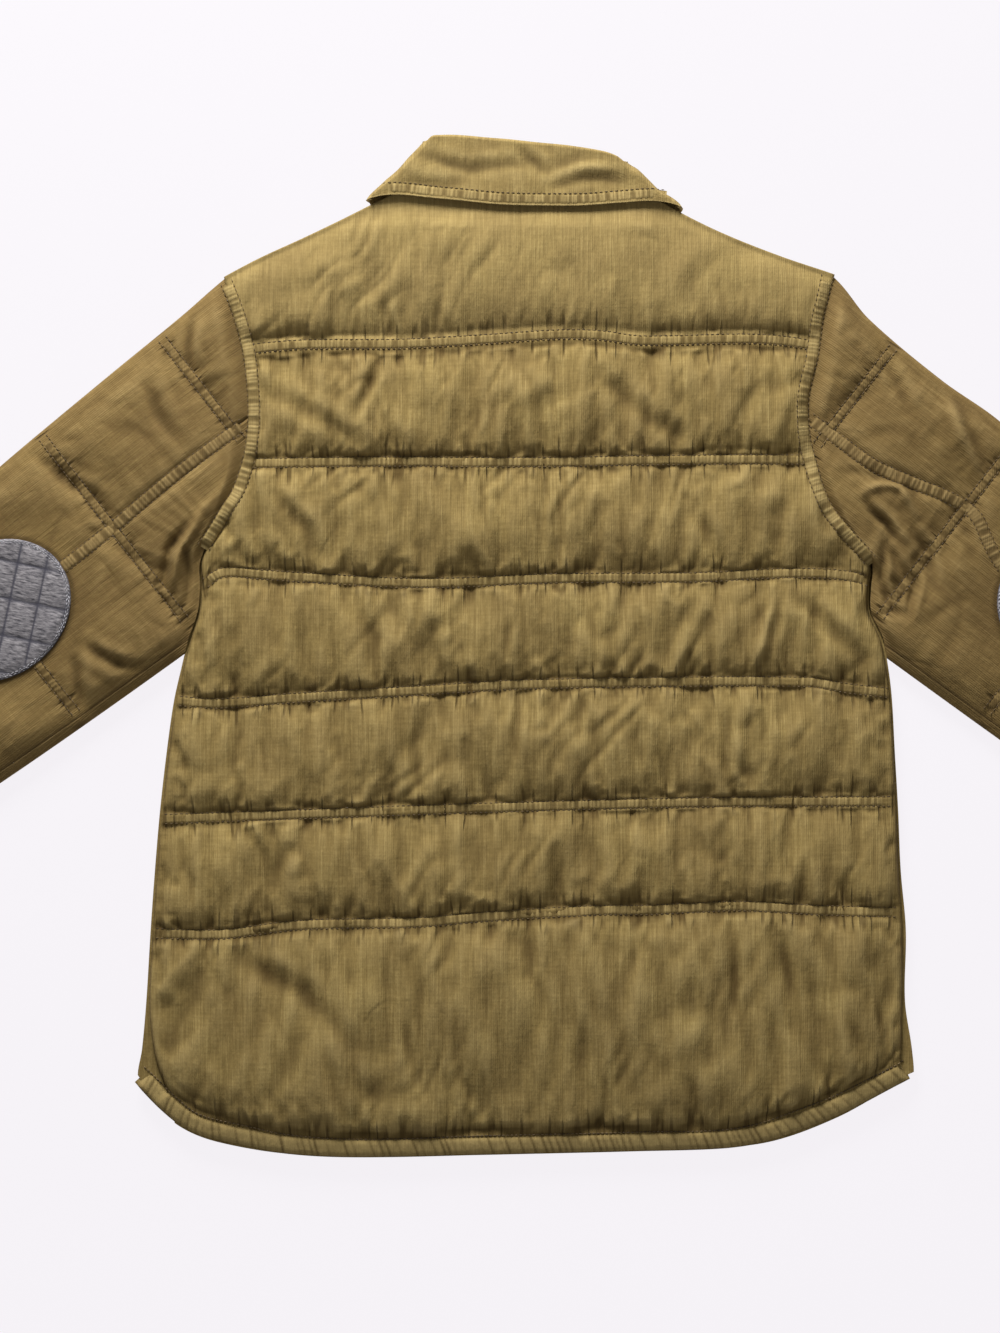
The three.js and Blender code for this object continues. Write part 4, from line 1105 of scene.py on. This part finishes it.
sleeve_pieces = []
for side_name, arm in arms:
    for title, node, stops, columns, cut in (
        ("_back_of_sleeve", "under_sleeve", (-0.03, 0.26, 0.55), 54, (0.34, 0.088, 0.0245)),
        ("_front_of_sleeve", "upper_sleeve",
         (0.55, 0.7, 0.85, 1.0, 1.5, 2.0, 2.5, 3.0, 3.5, 3.97), 84, (0.412, 0.235, 0.078)),
    ):
        piece = sleeve_part(side_name + title, arm, stops, columns, 250)
        x, y, z = in_mm(points_of(piece.data)).T
        s, n = off_arm(arm, x, y)
        away = np.min([np.abs(s - row) for row in sleeve_quilting[1:6]], axis=0)
        paint(piece, "gathered", 0.7 * np.exp(-np.maximum(away - 2.4, 0) / 9) * (z > 6))
        # Painted shade in the groove round the elbow patch and along the underarm seam.
        at_patch = np.exp(-(((around_patch(arm, s, n) - 1.02) / 0.035) ** 2))
        at_seam = np.exp(-(((arm["lower"](s) - 5.2 - n) / 1.1) ** 2))
        sunk = np.maximum(at_patch, 0.8 * at_seam) * (z > SLEEVE_HEIGHT / 2)
        paint_relief(piece, columns, 8, extra_shade=sunk.reshape(-1, columns + 1))
        thickened(piece, 2.4)
        piece.data.materials.append(sleeve_cord)
        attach(piece, "root")
        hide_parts(f"{side_name}_{node}")
        sleeve_pieces.append(piece)


# Seam bands: at every seam the cloth is sewn through twice, 5 to 7 mm apart, and the strip
# between the two rows stands up in small hard gathers that are worn pale. Felled seams do the
# same, and the hem is turned up into a wider band with one row of stitches.
def resampled(points, step):
    """A smooth path through a few points, with a point every step along it."""
    points = np.array(points, float)
    run = np.concatenate([[0], np.cumsum(np.hypot(*np.diff(points, axis=0).T))])
    across, up = flowing(*zip(run, points[:, 0])), flowing(*zip(run, points[:, 1]))
    at = np.linspace(0, run[-1], int(run[-1] / step) + 1)
    return np.stack([across(at), up(at)], axis=1)


def sideways(path):
    """The direction across a path at each of its points."""
    along = np.gradient(path, axis=0)
    along /= np.hypot(*along.T)[:, None]
    return np.stack([-along[:, 1], along[:, 0]], axis=1)


def surface_below(pieces):
    """Finds the height of the top surface of some pieces at places on the jacket."""
    graph = bpy.context.evaluated_depsgraph_get()
    trees = [BVHTree.FromObject(piece, graph) for piece in pieces]

    def height(x, y):
        found = np.full(len(x), np.nan)
        for k, spot in enumerate(metres(x, y, 60.0)):
            for tree in trees:
                hit = tree.ray_cast(Vector(spot), Vector((0, 0, -1)))[0]
                if hit is not None:
                    found[k] = np.nanmax([found[k], hit.z * 1000])
        good = ~np.isnan(found)
        return np.interp(np.arange(len(x)), np.flatnonzero(good), found[good])

    return height


BAND_STEP = 0.7


def seam_band(name, points, half_width, seed, surface, material, lift=0.9, pale=1.0,
              lean=0.0, outer=None, spread=1.0, pleated=False):
    """A gathered strip along a path, sewn down along both edges."""
    path = resampled(points, BAND_STEP)
    normal = sideways(path)
    count = len(path)
    draw = random.Random(seed)
    crests, at = [], 0.0
    while at < count * BAND_STEP:
        crests.append(at)
        at += draw.choice((1.7, 2.0, 2.4, 3.1, 4.6)) * draw.uniform(0.85, 1.15) * spread
    sizes = [draw.uniform(0.35, 1) for _ in crests]
    run = np.arange(count) * BAND_STEP
    edges = []
    for way in (-1, 1):
        spots = path + normal * way * half_width
        edges.append(evened(surface(*spots.T), 3))
    if outer is not None:
        edges[0] = np.full(count, outer)

    def place(across, up):
        k = np.rint(across * (count - 1)).astype(int)
        offset = (2 * up - 1) * half_width
        x, y = (path[k] + normal[k] * offset[:, None]).T
        shape = 1 - np.abs(2 * up - 1) ** 4
        leaned = run[k] + lean * offset
        rib = np.zeros_like(leaned)
        nearest = np.searchsorted(crests, leaned)
        for shift in (-1, 0):
            which = np.clip(nearest + shift, 0, len(crests) - 1)
            gap = (leaned - np.array(crests)[which]) / 0.75
            rib = np.maximum(rib, np.array(sizes)[which] * np.exp(-gap ** 2))
        if pleated:
            rib = 1 - rib
        low, high = edges[0][k], edges[1][k]
        ends = eased(np.clip(np.minimum(run[k], run[-1] - run[k]) / 6, 0, 1))
        z = low * (1 - up) + high * up - 0.25 + shape * ends * (lift + 0.5 * rib) - 0.9 * (1 - ends)
        # Painted shade along both stitched edges of the band and in the dips between its gathers. The
        # ribs are worn pale.
        between = 1.2 * (1 - rib) if pleated else 0.8 * (1 - rib) ** 2
        marks["painted_shade"] = np.clip(0.95 - 3.2 * shape, 0, 1) + shape * between
        marks["ridge"] = shape * pale * (0.15 + 0.9 * rib)
        return (x, y, z), (x, y)

    marks = {}
    band = cloth_grid(name, count - 1, 8, place)
    for attribute, values in marks.items():
        paint(band, attribute, values)
    band.data.materials.append(material)
    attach(band, "root")


def sewn_row(total, path, offset, surface, pitch=3.0, length=2.1, width=0.55, sink=0.05):
    """Adds a row of stitches beside a path to a bmesh of thread."""
    normal = sideways(path)
    spots = path + normal * offset
    run = np.concatenate([[0], np.cumsum(np.hypot(*np.diff(spots, axis=0).T))])
    at = np.arange(pitch / 2, run[-1], pitch)
    x, y = np.interp(at, run, spots[:, 0]), np.interp(at, run, spots[:, 1])
    heading = np.unwrap(np.arctan2(*np.gradient(spots, axis=0).T[::-1]))
    turns = np.interp(at, run, heading)
    heights = surface(x, y)
    row = bmesh.new()
    for spot, turn in zip(metres(x, y, heights + width / 2 - sink), turns):
        shape = Matrix.Diagonal((length / 1000, width / 1000, width / 1000, 1))
        matrix = Matrix.Translation(spot) @ Matrix.Rotation(turn, 4, "Z") @ shape
        bmesh.ops.create_icosphere(row, subdivisions=1, radius=0.5, matrix=matrix)
    made = bpy.data.meshes.new("row")
    row.to_mesh(made)
    row.free()
    total.from_mesh(made)
    bpy.data.meshes.remove(made)


def twin_rows(total, points, away, surface, **stitch):
    """Adds a row of stitches on either side of a path."""
    path = resampled(points, 2)
    for offset in (-away, away):
        sewn_row(total, path, offset, surface, **stitch)


def thread_piece(name, total, material):
    """Makes a piece of a bmesh of thread."""
    mesh = bpy.data.meshes.new(name)
    total.to_mesh(mesh)
    total.free()
    mesh.shade_smooth()
    mesh.materials.append(material)
    thread = placed(name, mesh)
    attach(thread, "root")


def build_thread(name, dark, light):
    material, tree, shader = new_material(name, Roughness=0.75)
    place = tree.nodes.new("ShaderNodeTexCoord")
    noise = add_node(tree, "ShaderNodeTexNoise", Vector=place.outputs["Object"], Scale=160.0,
                     Detail=2.0)
    colour = ramped(tree, noise.outputs["Fac"], (0.35, dark), (0.65, light))
    feed(tree, shader.inputs["Base Color"], colour)
    return material


# The thread is darker than the cloth, partly its own colour and partly painted shade of the stitched
# grooves it lies in.
body_thread = build_thread("body_thread", (0.045, 0.026, 0.010), (0.16, 0.105, 0.042))
laid_body = surface_below([back_panel, back_yoke])
everything = surface_below([back_panel, back_yoke, *sleeve_pieces])
body_rows = bmesh.new()
for k, line in enumerate([yoke_seam, *quilting]):
    start, end = (across_body(line, np.array([share]))[0][0] for share in (0.003, 0.997))
    x = np.linspace(start, end, 40)
    points = list(zip(x, line(x)))
    seam_band(f"seam_band_{k + 1}", points, 2.9, 60 + k, laid_body, body_cord, 0.55, 0.6)
    twin_rows(body_rows, points, 2.75, laid_body)
hem_stops = np.linspace(-224.2, 220.5, 60)
hem_points = [(x, (hem_stitching(x) + hem_edge(x)) / 2 - 0.3) for x in hem_stops]
laid_hem = surface_below([back_panel, *fronts])
seam_band(
    "hem_band", hem_points, 5.5, 77, laid_hem, body_cord, 1.4, 0.5, lean=0.35,
    outer=LINING + 0.4, spread=2.0, pleated=True)
armholes = [
    ((-175.0, 508.5), (-169.4, 494.7), (-165.3, 482.6), (-161.8, 468.1), (-159.8, 453.6),
     (-158.9, 442.0), (-158.6, 428.6), (-159.5, 417.6), (-161.2, 406.6), (-164.1, 396.1),
     (-168.2, 385.1), (-174.0, 375.8), (-179.8, 366.0), (-187.9, 353.2)),
    ((174.8, 512.5), (171.7, 499.4), (168.8, 487.8), (167.0, 475.0), (165.3, 463.4),
     (162.4, 451.8), (160.1, 440.2), (160.1, 427.5), (161.2, 415.9), (164.1, 404.3),
     (167.6, 391.5), (172.3, 379.3), (178.1, 370.0), (186.8, 359.6), (194.3, 351.5), (200.1, 344.5)),
]
for name, points in zip(("left", "right"), armholes):
    seam_band(
        name + "_armhole_band", points, 3.7, 80 + len(points), everything, body_cord,
        1.3)
    twin_rows(body_rows, points, 3.5, everything, sink=-0.2)
hem_row = resampled([(x, hem_stitching(x)) for x in np.linspace(-223, 220, 60)], 2)
sewn_row(body_rows, hem_row, 0, laid_hem, 2.5, 2.4, 0.8, 0)
collar_edge = [(x, float(fallen(np.array(x))) + 4.1) for x in np.linspace(-84, 81, 24)]
laid_collar = surface_below([collar_leaf])
seam_band("collar_edge_band", collar_edge, 3.1, 91, laid_collar, body_cord, 0.4, 0.9)
sewn_row(body_rows, resampled(collar_edge, 2), 3.2, laid_collar)
thread_piece("body_stitching", body_rows, body_thread)
sleeve_rows = bmesh.new()
for name, arm in arms:
    for k, s in enumerate(sleeve_quilting[1:6]):
        low, high = (float(arm[edge](np.array([s]))[0]) for edge in ("upper", "lower"))
        n = np.linspace(low + 3, high - 3, 80)
        n = n[arm_start(arm, n) < s - 3]
        points = np.stack(on_arm(arm, s + 0 * n, n), axis=1)[::4]
        seam_band(
            f"{name}_sleeve_band_{k + 1}", points, 2.6, 100 + k, everything, sleeve_cord,
            0.55, 0.35)
        # Nearly touching stitches of the dark thread also draw the painted shade of the quilted
        # grooves.
        twin_rows(sleeve_rows, points, 2.6, everything, pitch=2.6, length=2.5, width=0.6, sink=0)
    s = np.linspace(float(arm_start(arm, np.array([77.0]))[0]) + 2, 411, 40)
    points = np.stack(on_arm(arm, s, arm["seam"](s) + 0.6 * np.sin(s / 21)), axis=1)
    seam_band(
        name + "_arm_seam_band", points, 3.7, 120, everything, sleeve_cord, 0.8, 0.8)
    twin_rows(sleeve_rows, points, 3.5, everything)
thread_piece("sleeve_stitching", sleeve_rows, body_thread)


# Cuffs: a plain band of the sleeve cloth turned under at the wrist and stitched twice. Each is
# one flattened tube, sewn on where the sleeve ends.
CUFF_END = 450
CUFF_STITCHING = (443, 416)


def place_cuff(arm):
    def place(across, down):
        turn = 0.0315 + across * 3.997
        s = CUFF_START + 0.3 + down * 37.7
        n, z, leg, inset = ring(arm, s, turn)
        stitched = sum(np.exp(-(((s - row) / 1.2) ** 2)) for row in CUFF_STITCHING)
        rounded = np.clip((CUFF_END - s) / 3, 0, 1)
        swell = 1.2 * np.sin(math.pi * np.clip(down, 0, 1)) - 0.6 * stitched
        z = np.where(leg == 0, SLEEVE_HEIGHT + swell - 1.6 * (1 - rounded), z)
        round_cloth = np.where(leg == 0, n, np.where(leg == 2, ROUND_ARM - n, ROUND_ARM / 2 + z))
        return (*on_arm(arm, s, n), z), (s, round_cloth)

    return place


for side_name, arm in arms:
    cuff = cloth_grid(side_name + "_cuff_band", 150, 26, place_cuff(arm))
    paint_relief(cuff, 150, 6)
    thickened(cuff, 2.4)
    cuff.data.materials.append(sleeve_cord)
    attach(cuff, "root")
    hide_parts(side_name + "_cuff")


# Elbow patches: ovals of grey marl jersey over a thin pad, quilted by two crossing sets of
# slanting rows and sewn on with a zigzag round the edge.
def build_marl(name):
    material, tree, _ = new_material(name, Roughness=0.95, Specular_IOR_Level=0.1)
    place = add_node(tree, "ShaderNodeUVMap", uv_map="cloth")
    painted_shade = add_node(tree, "ShaderNodeAttribute", attribute_name="painted_shade")
    fibres = [noise_at(tree, place.outputs["UV"], stretch, 3, 0.65, turn)
              for turn, stretch in ((9, (950, 210, 1)), (-14, (820, 170, 1)))]
    both = add_node(tree, "ShaderNodeMix", data_type="FLOAT", A=fibres[0], B=fibres[1])
    marled = ramped(
        tree, both.outputs["Result"], (0.38, (0.053, 0.050, 0.058)), (0.64, (0.33, 0.308, 0.313)))
    # Painted shade: the jersey is mixed toward a dark grey in the quilted lines and hollows.
    mixed = add_node(tree, "ShaderNodeMix", data_type="RGBA", Factor=painted_shade.outputs["Fac"],
                     A=marled, B=(0.06, 0.058, 0.072, 1))
    surfaced(tree, mixed.outputs["Result"], both.outputs["Result"])
    return material


grey_marl = build_marl("grey_marl")
QUILT_TURN = math.radians(40)


def place_patch(arm):
    def place(across, along):
        u, v = 2 * along - 1, 2 * across - 1
        a = PATCH_LONG * u * np.sqrt(1 - v ** 2 / 2)
        b = PATCH_WIDE * v * np.sqrt(1 - u ** 2 / 2)
        edge = np.maximum(np.abs(u), np.abs(v))
        turned = (a * math.cos(QUILT_TURN) + b * math.sin(QUILT_TURN),
                  b * math.cos(QUILT_TURN) - a * math.sin(QUILT_TURN))
        rows = np.cos(math.pi / 21.2 * (turned[0] - 2.4))
        padding = np.abs(rows * np.cos(math.pi / 16.4 * (turned[1] + 1.4))) ** 0.36
        rim = np.sqrt(1 - np.clip(1 - (1 - edge) * 9, 0, 1) ** 2)
        z = PATCH_SEAT + 0.4 + 1.2 * rim + 1.7 * padding * np.clip((1 - edge) * 5, 0, 1)
        x, y = on_arm(arm, arm["patch_at"] + a, PATCH_ACROSS + b)
        # Painted shade along the quilted lines, where the padding is pulled in.
        quilted.append(np.clip(1.1 - 1.9 * padding, 0, 1))
        return (x, y, z), turned

    return place


quilted = []
patch_thread = build_thread("patch_thread", (0.16, 0.155, 0.17), (0.5, 0.49, 0.52))
patch_rows = bmesh.new()
for side_name, arm in arms:
    elbow = cloth_grid(side_name + "_quilted_patch", 110, 130, place_patch(arm))
    paint_relief(elbow, 110, 5, 0.6, quilted[-1].reshape(-1, 111))
    close_underneath(elbow, PATCH_SEAT + 0.1)
    elbow.data.materials.append(grey_marl)
    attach(elbow, "root")
    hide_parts(side_name + "_elbow_patch")
    turns = np.linspace(0, math.tau, 211)
    reach = 0.965 + 0.025 * (-1) ** np.arange(211)
    down, over = PATCH_LONG * reach * np.cos(turns), PATCH_WIDE * reach * np.sin(turns)
    zigzag = np.stack(on_arm(arm, arm["patch_at"] + down, PATCH_ACROSS + over), axis=1)
    sewn_row(patch_rows, zigzag, 0, surface_below([elbow]), 1.25, 1.5, 0.5)
thread_piece("patch_stitching", patch_rows, patch_thread)


# Six four-hole buttons of dark horn-like plastic, mottled along the sheet they were cut from.
# They are the solids themselves, sewn in their hollows down the button stand.
horn, horn_tree, horn_shader = new_material("dark_horn", Roughness=0.4)
horn_place = horn_tree.nodes.new("ShaderNodeTexCoord")
mottled = noise_at(horn_tree, horn_place.outputs["Object"], (90, 340, 90), 3)
horn_colour = ramped(horn_tree, mottled, (0.35, (0.020, 0.011, 0.006)), (0.7, (0.13, 0.075, 0.038)))
feed(horn_tree, horn_shader.inputs["Base Color"], horn_colour)
for k in range(len(button_heights)):
    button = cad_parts[f"button_{k + 1}"]
    for slot in button.material_slots:
        slot.material = horn
